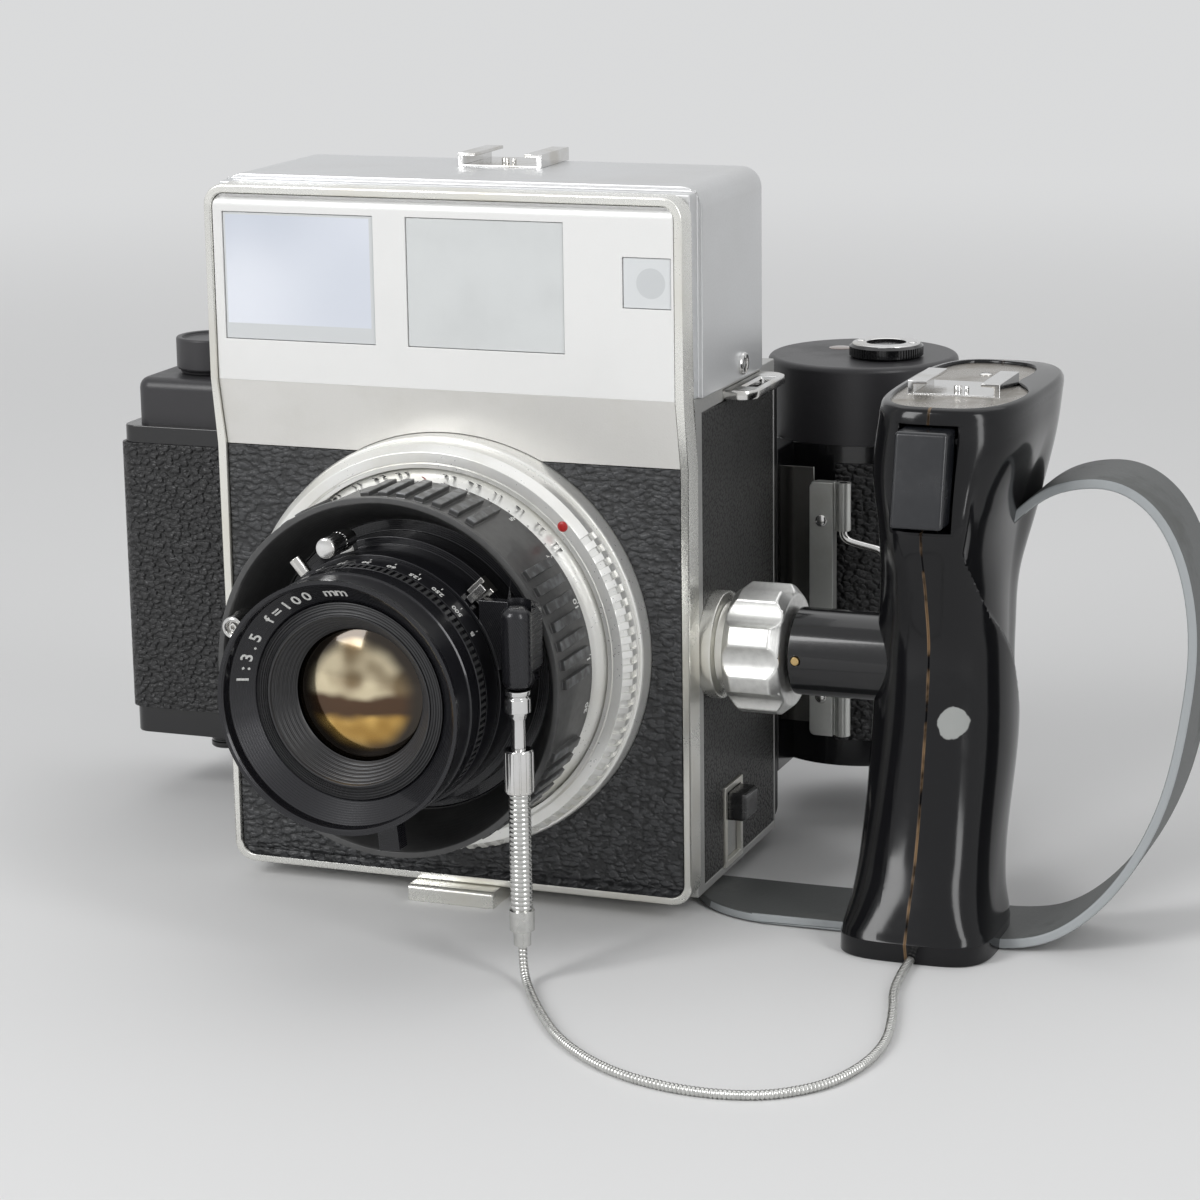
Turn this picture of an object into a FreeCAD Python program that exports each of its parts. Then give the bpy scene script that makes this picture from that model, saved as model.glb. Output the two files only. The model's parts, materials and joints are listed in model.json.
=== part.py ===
"""Large press camera: rangefinder body, 100 mm lens in a leaf shutter, roll-film holder, side grip.

Frame: origin at the mouth of the tripod socket, on the plane the camera stands on.
+Z is up, the lens looks along -Y and the grip is on the +X side.  All lengths are in millimetres.
"""
import FreeCAD, Part
import math
import os
import re
import Sketcher
from FreeCAD import Matrix, Placement, Rotation, Vector

doc = FreeCAD.newDocument("press_camera")

# ---------------------------------------------------------------- driving dimensions
DIMENSIONS = {
    # body, measured from the plane it stands on and from the tripod socket's axis
    "foot_height": (4.0, "plane it stands on to the underside of the body"),
    "foot_width": (22.0, "tripod foot, side to side"),
    "foot_front": (29.0, "front end of the foot, ahead of the socket"),
    "foot_back": (40.0, "rear end of the foot, behind the socket"),
    "body_front": (24.0, "front plane of the trim, ahead of the socket"),
    "trim_width": (118.4, "bright front trim, side to side"),
    "trim_height": (166.0, "front trim, bottom to top"),
    "trim_depth": (7.0, "front trim, front to back"),
    "trim_wall": (2.0, "width of the trim's front edge"),
    "trim_corner": (5.0, "radius of the trim's outer corners"),
    "kink_low": (104.0, "height in the trim where the front starts to lean out"),
    "kink_high": (120.0, "height in the trim where the finder front begins"),
    "front_step": (3.3, "finder front ahead of the lower front"),
    "shell_inset": (0.8, "cast body inside the trim, each side"),
    "shell_depth": (59.0, "cast body behind the trim"),
    "shoulder_drop": (1.0, "shoulder of the cast body under the finder front's foot"),
    "shell_wall": (3.0, "wall of the cast body"),
    "rim_depth": (5.0, "bare metal rim ahead of the side leather"),
    "skin": (0.8, "thickness of leather covering"),
    "cover_back": (1.0, "side leather ahead of the cast body's rear end"),
    "cover_low": (2.0, "side leather above the cast body's underside"),
    "cover_top": (4.0, "side leather under the shoulder"),
    "panel_skin": (1.2, "thickness of the front leather panel"),
    "panel_gap": (0.15, "gap between a panel and its frame"),
    "recess": (0.4, "front panels behind the trim's edge"),
    # finder housing
    "housing_overhang": (0.7, "finder housing beyond the trim, each side"),
    "housing_depth": (47.3, "finder housing, front to back"),
    "housing_rise": (1.2, "top of the finder housing above the trim"),
    "housing_wall": (1.8, "sheet of the finder housing"),
    "housing_gap": (8.7, "housing behind the front plane"),
    "housing_corner": (5.0, "radius of the housing's rear corners"),
    "neck_inset": (1.3, "housing neck inside the housing's sides"),
    "cover_thick": (2.0, "thickness of the finder front cover"),
    "window_low": (9.7, "lower edge of the tall windows above the finder front's foot"),
    "window_top": (4.3, "tall windows under the trim's inner edge"),
    "frame_window_width": (38.5, "left window, which lights the bright frames"),
    "window_margin": (2.3, "left window inside the finder front's edge"),
    "window_gap": (8.15, "between the left window and the viewfinder window"),
    "range_gap": (14.1, "between the viewfinder window and the rangefinder window"),
    "range_window": (11.6, "side of the square rangefinder window"),
    "range_margin": (0.65, "rangefinder window inside the finder front's edge"),
    "range_top": (11.6, "rangefinder window under the trim's inner edge"),
    "glass": (1.6, "thickness of a window"),
    "eyepiece_radius": (9.0, "eyepiece rim"),
    "eyepiece_bore": (7.0, "eyepiece barrel"),
    "eyepiece_wall": (1.5, "wall of the eyepiece barrel"),
    "eyepiece_rim": (2.0, "eyepiece rim, front to back"),
    "eyepiece_depth": (4.0, "eyepiece barrel inside the housing"),
    "prism_size": (20.0, "side of the beam splitter block"),
    "shelf": (2.0, "plate that carries the finder optics"),
    "optics_back": (6.0, "glass block behind the housing's front"),
    "mirror_back": (9.0, "mirror behind the housing's front"),
    "mirror_thick": (2.0, "mirror"),
    "mirror_width": (7.0, "mirror, side to side"),
    "mirror_foot": (4.0, "post under the mirror, front to back"),
    # accessory shoes
    "shoe_width": (21.5, "outer width of an accessory shoe"),
    "shoe_length": (18.0, "length of an accessory shoe"),
    "shoe_slot": (18.7, "inner width of an accessory shoe"),
    "shoe_mouth": (12.6, "gap between the lips of a shoe"),
    "shoe_base": (0.4, "floor of a shoe"),
    "shoe_room": (2.0, "height under the lips of a shoe"),
    "shoe_lip": (0.8, "thickness of a shoe's lips"),
    "shoe_y": (35.5, "centre of the body's shoe behind the housing's front"),
    # lens mount and lens, measured forward from the front plane
    "lens_rise": (60.0, "lens axis above the underside of the body"),
    "flange_front": (4.7, "face of the mount flange"),
    "hub_front": (7.5, "front of that hub"),
    "fit": (0.05, "radial clearance of a running fit"),
    "play": (0.1, "clearance between faces that pass each other"),
    "lock_knurl": (9.0, "front end of the knurled rim"),
    "lock_front": (11.3, "front face of the lock ring"),
    "scale_shoulder": (10.0, "end of the depth scale ring's rear band"),
    "scale_front": (15.6, "front of the depth scale ring's cone"),
    "sleeve_front": (22.0, "front of that sleeve"),
    "barrel_radius": (33.95, "sliding lens barrel"),
    "sleeve_wall": (3.9, "wall of the sleeve and spigot round the barrel"),
    "scale_step": (2.1, "front of the depth scale ring beyond the sleeve"),
    "scale_flange": (5.0, "rear of the depth scale ring beyond the sleeve"),
    "hub_wall": (5.15, "wall of the hub round the mount's bore"),
    "lock_wall": (5.45, "wall of the lock ring round the hub"),
    "lock_slope": (1.6, "slope in front of the lock ring's knurled rim"),
    "flange_step": (1.0, "flange beyond the lock ring's rim"),
    "focus_wall": (3.25, "wall of the focus ring round the sleeve"),
    "rim_rise": (0.7, "front rim of the focus ring beyond its wall"),
    "barrel_gap": (0.35, "gap round the barrel in the dish's floor"),
    "focus_rib": (1.3, "height of the focus ring's ribs"),
    "focus_front": (38.5, "front rim of the focus ring"),
    "dish_floor": (24.5, "floor of the dish inside the focus ring"),
    "focus_ribs": (60.0, "ribs that a full turn would hold"),
    "rib_step": (10.0, "ribs and gaps in one repeat"),
    "ribs_in_group": (7.0, "ribs in one group"),
    "rib_width": (2.2, "width of a rib"),
    "rib_rear": (2.0, "ribs short of the focus ring's rear"),
    "rib_front": (4.0, "ribs short of the focus ring's front"),
    "focus_lip": (1.5, "front rim of the focus ring, front to back"),
    "lip_bevel": (0.5, "slope behind that rim"),
    "lip_edge": (0.9, "width of that rim's front edge"),
    "mount_reach": (-6.0, "rear end of the lens's spigot"),
    "barrel_reach": (-4.0, "rear end of the sliding barrel"),
    "barrel_step": (0.5, "rear step of the shutter case behind the dish's floor"),
    "shutter_rear": (31.4, "radius of the shutter case's rear step"),
    "shutter_step": (31.0, "front of that step"),
    "shutter_radius": (29.6, "shutter case"),
    "shutter_front": (42.0, "front of the shutter case"),
    "spindle_radius": (27.0, "seat of the speed and aperture rings"),
    "speed_front": (48.4, "front of the speed ring"),
    "speed_radius": (28.9, "speed ring"),
    "aperture_front": (52.0, "front of the aperture ring"),
    "aperture_radius": (28.8, "aperture ring"),
    "cell_seat": (55.0, "where the front cell screws against the shutter"),
    "cell_back": (50.0, "rear end of the front cell's thread"),
    "cell_thread": (21.9, "radius of the front cell's thread"),
    "lens_front": (64.9, "front rim of the lens"),
    "rim_radius": (28.75, "front rim of the lens"),
    "filter_radius": (27.5, "filter thread"),
    "filter_depth": (3.0, "length of the filter thread"),
    "name_ring": (22.5, "inner edge of the sloping name ring"),
    "name_ring_back": (57.6, "depth of that edge"),
    "cell_bore": (19.5, "bore of the front cell"),
    "baffle_front": (58.3, "front of the ribbed baffle"),
    "baffle_radius": (15.2, "inner end of the baffle"),
    "glass_edge": (52.4, "front of the lip that holds the front glass"),
    "glass_lip": (1.0, "thickness of that lip"),
    "glass_radius": (17.5, "front and rear glasses"),
    "glass_side": (50.4, "front edge of the front glass's rim"),
    "glass_curve": (55.0, "radius of the glasses' domes"),
    "glass_back": (48.5, "rear of the front glass"),
    "barrel_bore": (22.0, "bore of the shutter"),
    "rear_bore": (18.0, "bore behind the shutter"),
    "rear_glass": (7.0, "thickness of the rear glass"),
    "rear_glass_inset": (2.0, "rear glass inside the barrel's rear end"),
    "rear_seat": (8.0, "shutter's bore behind the blades"),
    "blade_plane": (36.0, "plane of the shutter blades"),
    "blade": (0.4, "thickness of a blade"),
    "iris_hole": (9.0, "opening left by the aperture blades"),
    # shutter levers, at angles round the lens axis from +X towards +Z
    "cock_angle": (106.0, "cocking lever"),
    "cock_radius": (33.0, "centre of the cocking lever's knob"),
    "cock_knob": (2.3, "radius of that knob"),
    "cock_front": (48.5, "front end of that knob"),
    "cock_back": (36.5, "rear end of that knob"),
    "lever_gap": (0.3, "levers clear of the shutter case"),
    "lever_thick": (2.5, "shutter levers, front to back"),
    "release_back": (36.0, "rear of the release lever"),
    "selector_pin": (1.6, "radius of the flash selector pin"),
    "selector_forward": (37.5, "flash selector pin ahead of the front plane"),
    "sync_length": (8.0, "length of the flash socket"),
    "release_angle": (43.0, "release lever"),
    "release_reach": (34.8, "outer end of the release lever"),
    "release_width": (4.5, "release lever"),
    "release_edge": (2.0, "raised edge of the release lever"),
    "selector_angle": (130.0, "flash selector pin"),
    "selector_radius": (34.2, "outer end of the flash selector pin"),
    "sync_angle": (161.0, "flash socket"),
    "sync_radius": (35.5, "centre of the flash socket"),
    "sync_size": (2.5, "radius of the flash socket"),
    "sync_wall": (0.8, "wall of the flash socket"),
    "sync_arm": (2.8, "arm of the flash socket, front to back"),
    "tab_angle": (-84.0, "speed ring's tab"),
    "tab_reach": (37.5, "outer end of the speed ring's tab"),
    "tab_width": (4.4, "tab, side to side"),
    "tab_depth": (5.0, "tab, front to back"),
    "ring_root": (1.0, "tab and levers let into their ring"),
    # cable release
    "cable_x": (36.4, "cable socket from the lens axis"),
    "cable_forward": (49.0, "cable socket ahead of the front plane"),
    "socket_radius": (3.4, "cable socket"),
    "socket_low": (67.5, "lower end of the cable socket"),
    "socket_high": (86.0, "upper end of the cable socket"),
    "socket_stem": (2.0, "socket's bridge above its lower end"),
    "bridge_gap": (0.6, "bridge ahead of the focus ring's rim"),
    "bridge_root": (5.0, "bridge let into the shutter case"),
    "collar_low": (62.3, "lower end of the nipple's collar"),
    "collar_radius": (2.9, "nipple's collar"),
    "nipple_radius": (1.6, "nipple between collar and nut"),
    "nut_radius": (3.3, "knurled nut"),
    "nut_high": (53.9, "upper end of the nut"),
    "nut_low": (44.0, "lower end of the nut"),
    "coil_radius": (2.5, "stiff coil sleeve"),
    "coil_low": (17.0, "lower end of the coil sleeve"),
    "ferrule_radius": (2.8, "ferrule under the coil sleeve"),
    "ferrule_tip": (1.95, "lower part of the ferrule"),
    "ferrule_step": (12.2, "step in the ferrule under the coil sleeve"),
    "ferrule_low": (8.7, "lower end of the ferrule"),
    "cable_end_offset": (1.0, "cable's end beyond the grip's parting plane"),
    "cable_end_y": (-33.0, "cable's end in the grip's foot"),
    "cable_notch": (1.8, "half the width of the notch for the cable"),
    "cable_radius": (1.05, "thin coiled cable"),
    # grip mount
    "grip_forward": (4.0, "grip arm ahead of the socket axis"),
    "grip_rise": (58.7, "grip arm above the underside of the body"),
    "socket_plate": (3.2, "round plate on the body's side"),
    "socket_plate_radius": (12.7, "that plate"),
    "socket_neck": (2.6, "neck between plate and knob"),
    "socket_neck_radius": (10.0, "that neck"),
    "knob_radius": (15.3, "clamping knob"),
    "knob_width": (14.0, "clamping knob along the arm"),
    "knob_bevel": (2.2, "bevel of the clamping knob"),
    "flute_radius": (5.0, "hollow between two lobes of the knob"),
    "flute_depth": (1.9, "depth of that hollow"),
    "lobes": (8.0, "lobes of the knob"),
    "arm_radius": (10.25, "grip arm"),
    "arm_gap": (1.0, "arm clear of the knob's face"),
    "spigot_radius": (6.0, "spigot of the arm inside the knob"),
    "arm_inset": (10.0, "end of the arm short of the grip's parting plane"),
    "stop_offset": (2.0, "brass stop pin from the arm's end"),
    "grip_reach": (55.6, "parting plane of the grip beyond the body's side"),
    "grip_wall": (2.6, "wall of the grip's halves"),
    "parting": (0.1, "joint line between the halves"),
    "plate_thick": (0.8, "metal plate on top of the grip"),
    "plate_radius": (15.0, "metal plate on top of the grip"),
    "plate_back": (10.5, "centre of that plate behind the socket axis"),
    "trigger_width": (12.0, "trigger, side to side"),
    "trigger_high": (120.0, "top of the trigger"),
    "trigger_low": (99.0, "foot of the trigger"),
    "trigger_depth": (10.5, "trigger, front to back"),
    "trigger_front": (26.0, "trigger face ahead of the socket axis, at the top"),
    "trigger_lean": (4.5, "foot of the trigger ahead of its top"),
    "trigger_gap": (0.5, "trigger clear of the grip at each side"),
    "trigger_swing": (5.0, "room behind the trigger for its pull"),
    "trigger_drop": (1.8, "room under the trigger for its pull"),
    "pin_radius": (1.0, "pins in the grip and its arm"),
    "pin_length": (16.0, "trigger's cross pin"),
    "pin_back": (7.5, "cross pin behind the trigger's face"),
    "pin_drop": (3.0, "cross pin under the trigger's top"),
    # wrist strap
    "strap_width": (25.0, "wrist strap"),
    "strap_thick": (2.2, "wrist strap"),
    "strap_front": (19.5, "front edge of the strap ahead of the socket axis, at the foot"),
    "strap_drift": (0.25, "strap moves back for each unit of height"),
    "strap_offset": (15.0, "strap's root beyond the grip's parting plane"),
    "strap_low": (0.3, "underside of the strap's channel"),
    "slot_low": (90.5, "lower end of the strap's slot"),
    "slot_high": (100.5, "upper end of the strap's slot"),
    "slot_depth": (5.0, "inner end of the slot beyond the parting plane"),
    "strap_room": (0.5, "gap round the strap in the grip"),
    "strap_bow": (41.6, "strap's middle line beyond its root, where it is widest"),
    "strap_peak": (103.6, "highest point of the strap's middle line"),
    "strap_floor": (1.4, "middle line of the strap under the grip"),
    "strap_tail": (76.0, "tongue's tip inwards from the strap's root"),
    "tongue_slant": (24.0, "length of the tongue's slanted front edge"),
    "tongue_nose": (9.0, "middle of that slant from the tip"),
    "tongue_front": (5.0, "slant's middle behind the strap's front edge"),
    "tongue_back": (8.0, "end of the slant ahead of the strap's rear edge"),
    # roll-film holder
    "standard_inset": (2.2, "rear frame of the body inside the trim, each side"),
    "standard_depth": (6.8, "rear frame, front to back"),
    "standard_low": (2.0, "underside of the rear frame"),
    "standard_drop": (2.0, "top of the rear frame under the shoulder"),
    "standard_corner": (6.0, "lower corners of the rear frame"),
    "gate_width": (84.0, "picture gate"),
    "gate_height": (57.0, "picture gate"),
    "gate_margin": (4.0, "opening of the rear frame round the gate"),
    "holder_below": (19.0, "underside of the film holder under the picture gate"),
    "plate_gap": (0.8, "pressure plate under the holder's ceiling"),
    "holder_band": (7.0, "bare band under the leather"),
    "holder_ledge": (4.5, "bare band over the leather"),
    "holder_wall": (2.2, "wall of the film holder"),
    "holder_depth": (17.7, "middle of the film holder, front to back"),
    "chamber_width": (53.0, "supply chamber, side to side"),
    "chamber_gap": (5.6, "supply chamber beyond the body's side"),
    "chamber_front": (33.0, "front of the supply chamber behind the socket"),
    "chamber_corner": (4.0, "corners of the supply chamber"),
    "takeup_offset": (12.0, "centre of the round take-up chamber beyond the neck"),
    "takeup_y": (82.5, "centre of the round take-up chamber"),
    "takeup_radius": (24.0, "take-up chamber"),
    "neck_wall": (3.5, "holder's wall beyond the right film roller's room"),
    "roller_room": (0.5, "room round a film roller"),
    "gate_wall": (5.2, "front wall of the holder, with the picture gate and the slide's slot"),
    "passage_end": (5.0, "slit short of the holder's floor and ceiling"),
    "leather_gap": (4.0, "leather ahead of the back door"),
    "passage": (1.4, "slit that the film passes to the take-up chamber"),
    "door_inset": (6.7, "right end of the back door short of the neck"),
    "cap_inset": (3.0, "supply cap inside the case"),
    "slide_thick": (0.8, "dark slide"),
    "slide_gap": (0.2, "dark slide clear of its slot, each face"),
    "slide_front": (0.8, "wall ahead of the dark slide"),
    "slide_below": (5.5, "dark slide under the gate"),
    "slide_above": (2.5, "dark slide above the gate"),
    "slide_overlap": (8.0, "inner end of the dark slide beyond the gate"),
    "slide_reach": (9.0, "outer end of the dark slide beyond the neck"),
    "clamp_width": (6.0, "clamp plate of the dark slide's handle"),
    "clamp_lap": (0.7, "clamp plate's overlap with the slide"),
    "clamp_beyond": (5.0, "clamp plate beyond the marks of its ends"),
    "clamp_thick": (1.4, "clamp plate"),
    "clamp_foot": (2.0, "clamp plate above the slide's lower edge"),
    "clamp_top": (1.0, "clamp plate under the slide's upper edge"),
    "knuckle_radius": (1.9, "rolled ends that hold the wire handle"),
    "knuckle_length": (12.0, "each rolled end"),
    "bail_wire": (1.0, "radius of the wire handle"),
    "bail_gap": (0.5, "wire handle clear of the rolled ends"),
    "bail_reach": (11.0, "wire handle beyond its pivot"),
    "bail_drop": (5.0, "slant of the wire handle's ends"),
    "cap_high": (118.4, "top of the take-up cap"),
    "supply_cap_high": (111.0, "top of the supply cap"),
    "supply_offset": (18.5, "supply spool inside the supply chamber's outer side"),
    "supply_y": (51.0, "supply spool behind the socket"),
    "supply_knob_radius": (9.5, "supply knob"),
    "supply_knob_high": (120.5, "top of the supply knob"),
    "pull_knob_radius": (4.6, "spool knob under the supply chamber"),
    "pull_knob_low": (9.5, "lower end of that knob"),
    "wind_offset": (7.0, "winding knob beyond the take-up chamber's centre"),
    "wind_y": (79.0, "winding knob behind the socket"),
    "wind_radius": (9.3, "winding knob"),
    "wind_high": (122.4, "top of the winding knob"),
    "spool_flange": (12.4, "radius of a film spool's ends"),
    "spool_core": (5.8, "radius of a film spool's core"),
    "spool_end": (1.5, "thickness of a film spool's ends"),
    "spool_gap": (0.8, "spool under the holder's ceiling"),
    "spool_seat": (3.0, "pins and shafts inside a spool's ends"),
    "spool_length": (64.0, "film spool over its ends"),
    "roller_radius": (3.0, "film roller"),
    "roller_gap": (8.0, "film roller's axis beyond the gate"),
    "pressure_thick": (1.6, "pressure plate"),
    "pressure_margin": (3.5, "pressure plate beyond the gate"),
    "post_radius": (2.0, "posts behind the pressure plate"),
    "film_gap": (0.3, "film channel"),
    "door_thick": (2.4, "back door"),
    "door_margin": (0.3, "gap round the back door"),
    "hinge_radius": (2.2, "back door's hinge"),
    "hinge_pin": (1.0, "pin of the back door's hinge"),
    "hinge_third": (27.0, "middle knuckle of the back door's hinge"),
    "shaft_radius": (2.5, "shafts of the film knobs"),
    # fittings on the right-hand side and screws
    "lug_reach": (7.5, "strap lug beyond the body"),
    "lug_width": (28.0, "strap lug, front to back"),
    "lug_root": (1.0, "strap lug let into the body"),
    "lug_drop": (3.6, "underside of the strap lug below the shoulder"),
    "lug_slot_length": (14.0, "slot in the strap lug"),
    "lug_thick": (2.4, "strap lug"),
    "lug_corner": (4.5, "outer corners of the strap lug"),
    "lug_edge": (1.75, "strap lug's edge outside its slot"),
    "lug_slot": (3.2, "width of that slot"),
    "lug_y": (17.0, "strap lug behind the socket"),
    "bezel_width": (13.0, "bezel of the lock slide, front to back"),
    "bezel_low": (5.5, "lower end of the bezel"),
    "bezel_high": (25.5, "upper end of the bezel"),
    "bezel_y": (8.5, "bezel's centre behind the socket"),
    "bezel_frame": (1.5, "width of the bezel's frame"),
    "bezel_rise": (0.5, "bezel beyond the body's side"),
    "button_height": (7.0, "lock slide's button"),
    "button_round": (1.2, "radius of the button's outer edges"),
    "button_reach": (5.0, "lock slide's button beyond the leather"),
    "screw_head": (2.0, "radius of a screw head"),
    "screw_rise": (0.6, "height of a screw head"),
    "socket_bore": (3.2, "quarter-inch tripod thread"),
    "socket_wall": (3.0, "wall round the tripod thread inside the body"),
    "socket_depth": (6.0, "depth of the tripod thread"),
    "big_socket_bore": (4.75, "three-eighths-inch tripod thread"),
    "big_socket_floor": (0.6, "metal over the larger thread"),
    "foot_round": (1.0, "radius of the foot's upper edges"),
    "socket_spacing": (19.0, "between the two tripod threads"),
}

# Grip rings from the sole up: height, front face ahead of the socket axis, half depth, reach to the right
# and to the left of the parting plane, and squareness (2 is an ellipse, 4 nearly a rounded rectangle)
GRIP_FORM = {
    "sole": (0.0, 35.0, 17.5, 17.5, 18.1, 4.0),
    "toe": (5.0, 36.5, 18.5, 17.6, 17.6, 4.0),
    "ankle": (12.0, 33.3, 19.0, 16.0, 16.7, 3.0),
    "calf": (22.0, 28.0, 19.0, 15.3, 16.7, 2.5),
    "waist": (45.0, 21.6, 20.0, 16.1, 16.8, 2.2),
    "palm": (68.0, 17.9, 20.0, 15.3, 16.6, 2.2),
    "thumb": (82.0, 21.0, 22.0, 15.8, 14.9, 2.4),
    "neck": (96.0, 25.5, 30.4, 16.6, 14.2, 3.0),
    "cheek": (109.0, 22.5, 31.0, 18.9, 16.5, 3.2),
    "brow": (122.6, 20.0, 35.2, 18.7, 16.0, 3.2),
}
GRIP_RINGS = list(GRIP_FORM)
for ring, values in GRIP_FORM.items():
    for word, value in zip(("rise", "front", "deep", "right", "left", "square"), values):
        DIMENSIONS[f"{ring}_{word}"] = (value, f"{word} of the grip's {ring} ring")

# ---------------------------------------------------------------- dimensions that follow from those
DERIVED = {
    "shell_width": ("trim_width - 2 * shell_inset", "cast body, side to side"),
    "shell_height": ("kink_high - shoulder_drop", "cast body, bottom to shoulder"),
    "housing_width": ("trim_width + 2 * housing_overhang", "finder housing, side to side"),
    "housing_height": ("trim_height - shell_height + housing_rise", "finder housing above the shoulder"),
    "panel_half": ("trim_width / 2 - trim_wall - panel_gap", "half the width of the front panels"),
    "window_height": ("trim_height - kink_high - trim_wall - window_low - window_top", "the two tall windows"),
    "frame_window_x": ("panel_half - window_margin - frame_window_width / 2", "left window from the axis"),
    "finder_left": ("frame_window_x - frame_window_width / 2 - window_gap", "viewfinder window's left edge"),
    "finder_right": ("panel_half - range_margin - range_window - range_gap", "viewfinder window's right edge"),
    "finder_window_width": ("finder_left + finder_right", "viewfinder window"),
    "finder_window_x": ("(finder_right - finder_left) / 2", "centre of the viewfinder window"),
    "range_window_x": ("panel_half - range_margin - range_window / 2", "centre of the rangefinder window"),
    "range_window_rise": ("trim_height - kink_high - trim_wall - range_top - range_window / 2",
                          "centre of the rangefinder window above the finder front's foot"),
    "grip_x": ("shell_width / 2 + grip_reach", "parting plane of the grip"),
    "cable_end_x": ("grip_x + cable_end_offset", "cable's end in the grip's foot"),
    "strap_edge_x": ("grip_x + strap_offset", "where the strap leaves the grip's flank"),
    "standard_width": ("trim_width - 2 * standard_inset", "rear frame of the body"),
    "standard_high": ("foot_height + shell_height - standard_drop", "top of the rear frame"),
    "gate_low": ("foot_height + lens_rise - gate_height / 2", "lower edge of the picture gate"),
    "gate_high": ("foot_height + lens_rise + gate_height / 2", "upper edge of the picture gate"),
    "holder_low": ("gate_low - holder_below", "underside of the film holder"),
    "holder_high": ("gate_high + pressure_margin + plate_gap + holder_wall", "top of the film holder's case"),
    "roller_x": ("gate_width / 2 + roller_gap", "film roller from the axis"),
    "neck_x": ("roller_x + roller_radius + roller_room + neck_wall", "right end of the holder's flat front"),
    "door_right": ("neck_x - door_inset", "right end of the back door"),
    "takeup_x": ("neck_x + takeup_offset", "centre of the round take-up chamber"),
    "wind_x": ("takeup_x + wind_offset", "winding knob from the axis"),
    "chamber_right": ("shell_width / 2 + chamber_gap", "inner side of the supply chamber"),
    "chamber_left": ("chamber_right + chamber_width", "outer side of the supply chamber"),
    "supply_x": ("chamber_left - supply_offset", "supply spool to the left of the axis"),
    "slide_low": ("gate_low - slide_below", "lower edge of the dark slide"),
    "slide_high": ("gate_high + slide_above", "upper edge of the dark slide"),
    "slide_left": ("gate_width / 2 + slide_overlap", "inner end of the dark slide"),
    "slide_right": ("neck_x + slide_reach", "outer end of the dark slide"),
    "clamp_low": ("slide_low + clamp_foot", "clamp plate, lower end"),
    "clamp_high": ("slide_high - clamp_top", "clamp plate, upper end"),
    "sleeve_radius": ("barrel_radius + fit + sleeve_wall", "sleeve that carries the focus ring"),
    "mount_bore": ("sleeve_radius + play", "bore of the mount"),
    "hub_radius": ("mount_bore + hub_wall", "hub that carries the lock ring"),
    "lock_radius": ("hub_radius + lock_wall", "knurled rim of the lock ring"),
    "lock_bevel": ("lock_radius - lock_slope", "radius of the lock ring's front face"),
    "flange_radius": ("lock_radius + flange_step", "fixed mount flange"),
    "scale_radius": ("sleeve_radius + scale_flange", "rear of the depth scale ring"),
    "scale_front_radius": ("sleeve_radius + scale_step", "front of the depth scale ring"),
    "focus_radius": ("sleeve_radius + fit + focus_wall", "focus ring between its ribs"),
    "focus_rim": ("focus_radius + rim_rise", "radius of the focus ring's front rim"),
    "dish_radius": ("barrel_radius + barrel_gap", "radius of the dish's floor"),
}

sizes = doc.addObject("Spreadsheet::Sheet", "Sizes")
FORMULAS = {alias: (f"={formula}", meaning) for alias, (formula, meaning) in DERIVED.items()}
ALIASES = {**DIMENSIONS, **FORMULAS}
for row, (alias, (value, meaning)) in enumerate(ALIASES.items(), start=1):
    sizes.set(f"A{row}", alias)
    sizes.set(f"B{row}", str(value))
    sizes.set(f"C{row}", meaning)
    sizes.setAlias(f"B{row}", alias)
doc.recompute()


def size(alias):
    """Current value of one dimension in the sheet."""
    return float(sizes.get(alias))


def bound(text):
    """Expression text with each alias pointed at the spreadsheet."""
    def looked_up(word):
        return f"Sizes.{word[0]}" if word[0] in ALIASES else word[0]
    return re.sub(r"[a-z][a-z_]*", looked_up, str(text))


# ---------------------------------------------------------------- building blocks
PIECES = {}
AXES = {"X": Rotation(Vector(0, 1, 0), 90), "Y": Rotation(Vector(1, 0, 0), -90), "Z": Rotation()}


def node(name, item):
    """Keep one finished piece under its own label."""
    item.Label = name
    PIECES[name] = item
    return item


def placed(item, at):
    for axis, value in zip("xyz", at):
        item.setExpression(f"Placement.Base.{axis}", bound(value))
    return item


def box(x_span, y_span, z_span):
    """Block between three pairs of expressions."""
    item = doc.addObject("Part::Box", "Block")
    for side, (low, high) in zip(("Length", "Width", "Height"), (x_span, y_span, z_span)):
        item.setExpression(side, bound(f"({high}) - ({low})"))
    return placed(item, (x_span[0], y_span[0], z_span[0]))


def cylinder(radius, length, at, along="Z"):
    item = doc.addObject("Part::Cylinder", "Round")
    item.setExpression("Radius", bound(radius))
    item.setExpression("Height", bound(length))
    item.Placement = Placement(Vector(), AXES[along])
    return placed(item, at)


def cut(base, *tools):
    for tool in tools:
        item = doc.addObject("Part::Cut", "Cut")
        item.Base = base
        item.Tool = tool
        base = item
    return base


def fuse(*shapes):
    item = doc.addObject("Part::MultiFuse", "Fuse")
    item.Shapes = list(shapes)
    item.Refine = True
    return item


def common(*shapes):
    item = doc.addObject("Part::MultiCommon", "Common")
    item.Shapes = list(shapes)
    return item


def group(*shapes):
    """Several separate solids that share one node."""
    item = doc.addObject("Part::Compound", "Group")
    item.Links = list(shapes)
    return item


def rounded(item, radius, chosen):
    """Fillet of the edges that the test picks."""
    doc.recompute()
    edges = [(index, radius, radius) for index, edge in enumerate(item.Shape.Edges, start=1) if chosen(edge)]
    fillet = doc.addObject("Part::Fillet", "Rounded")
    fillet.Base = item
    fillet.Edges = edges
    return fillet


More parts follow.
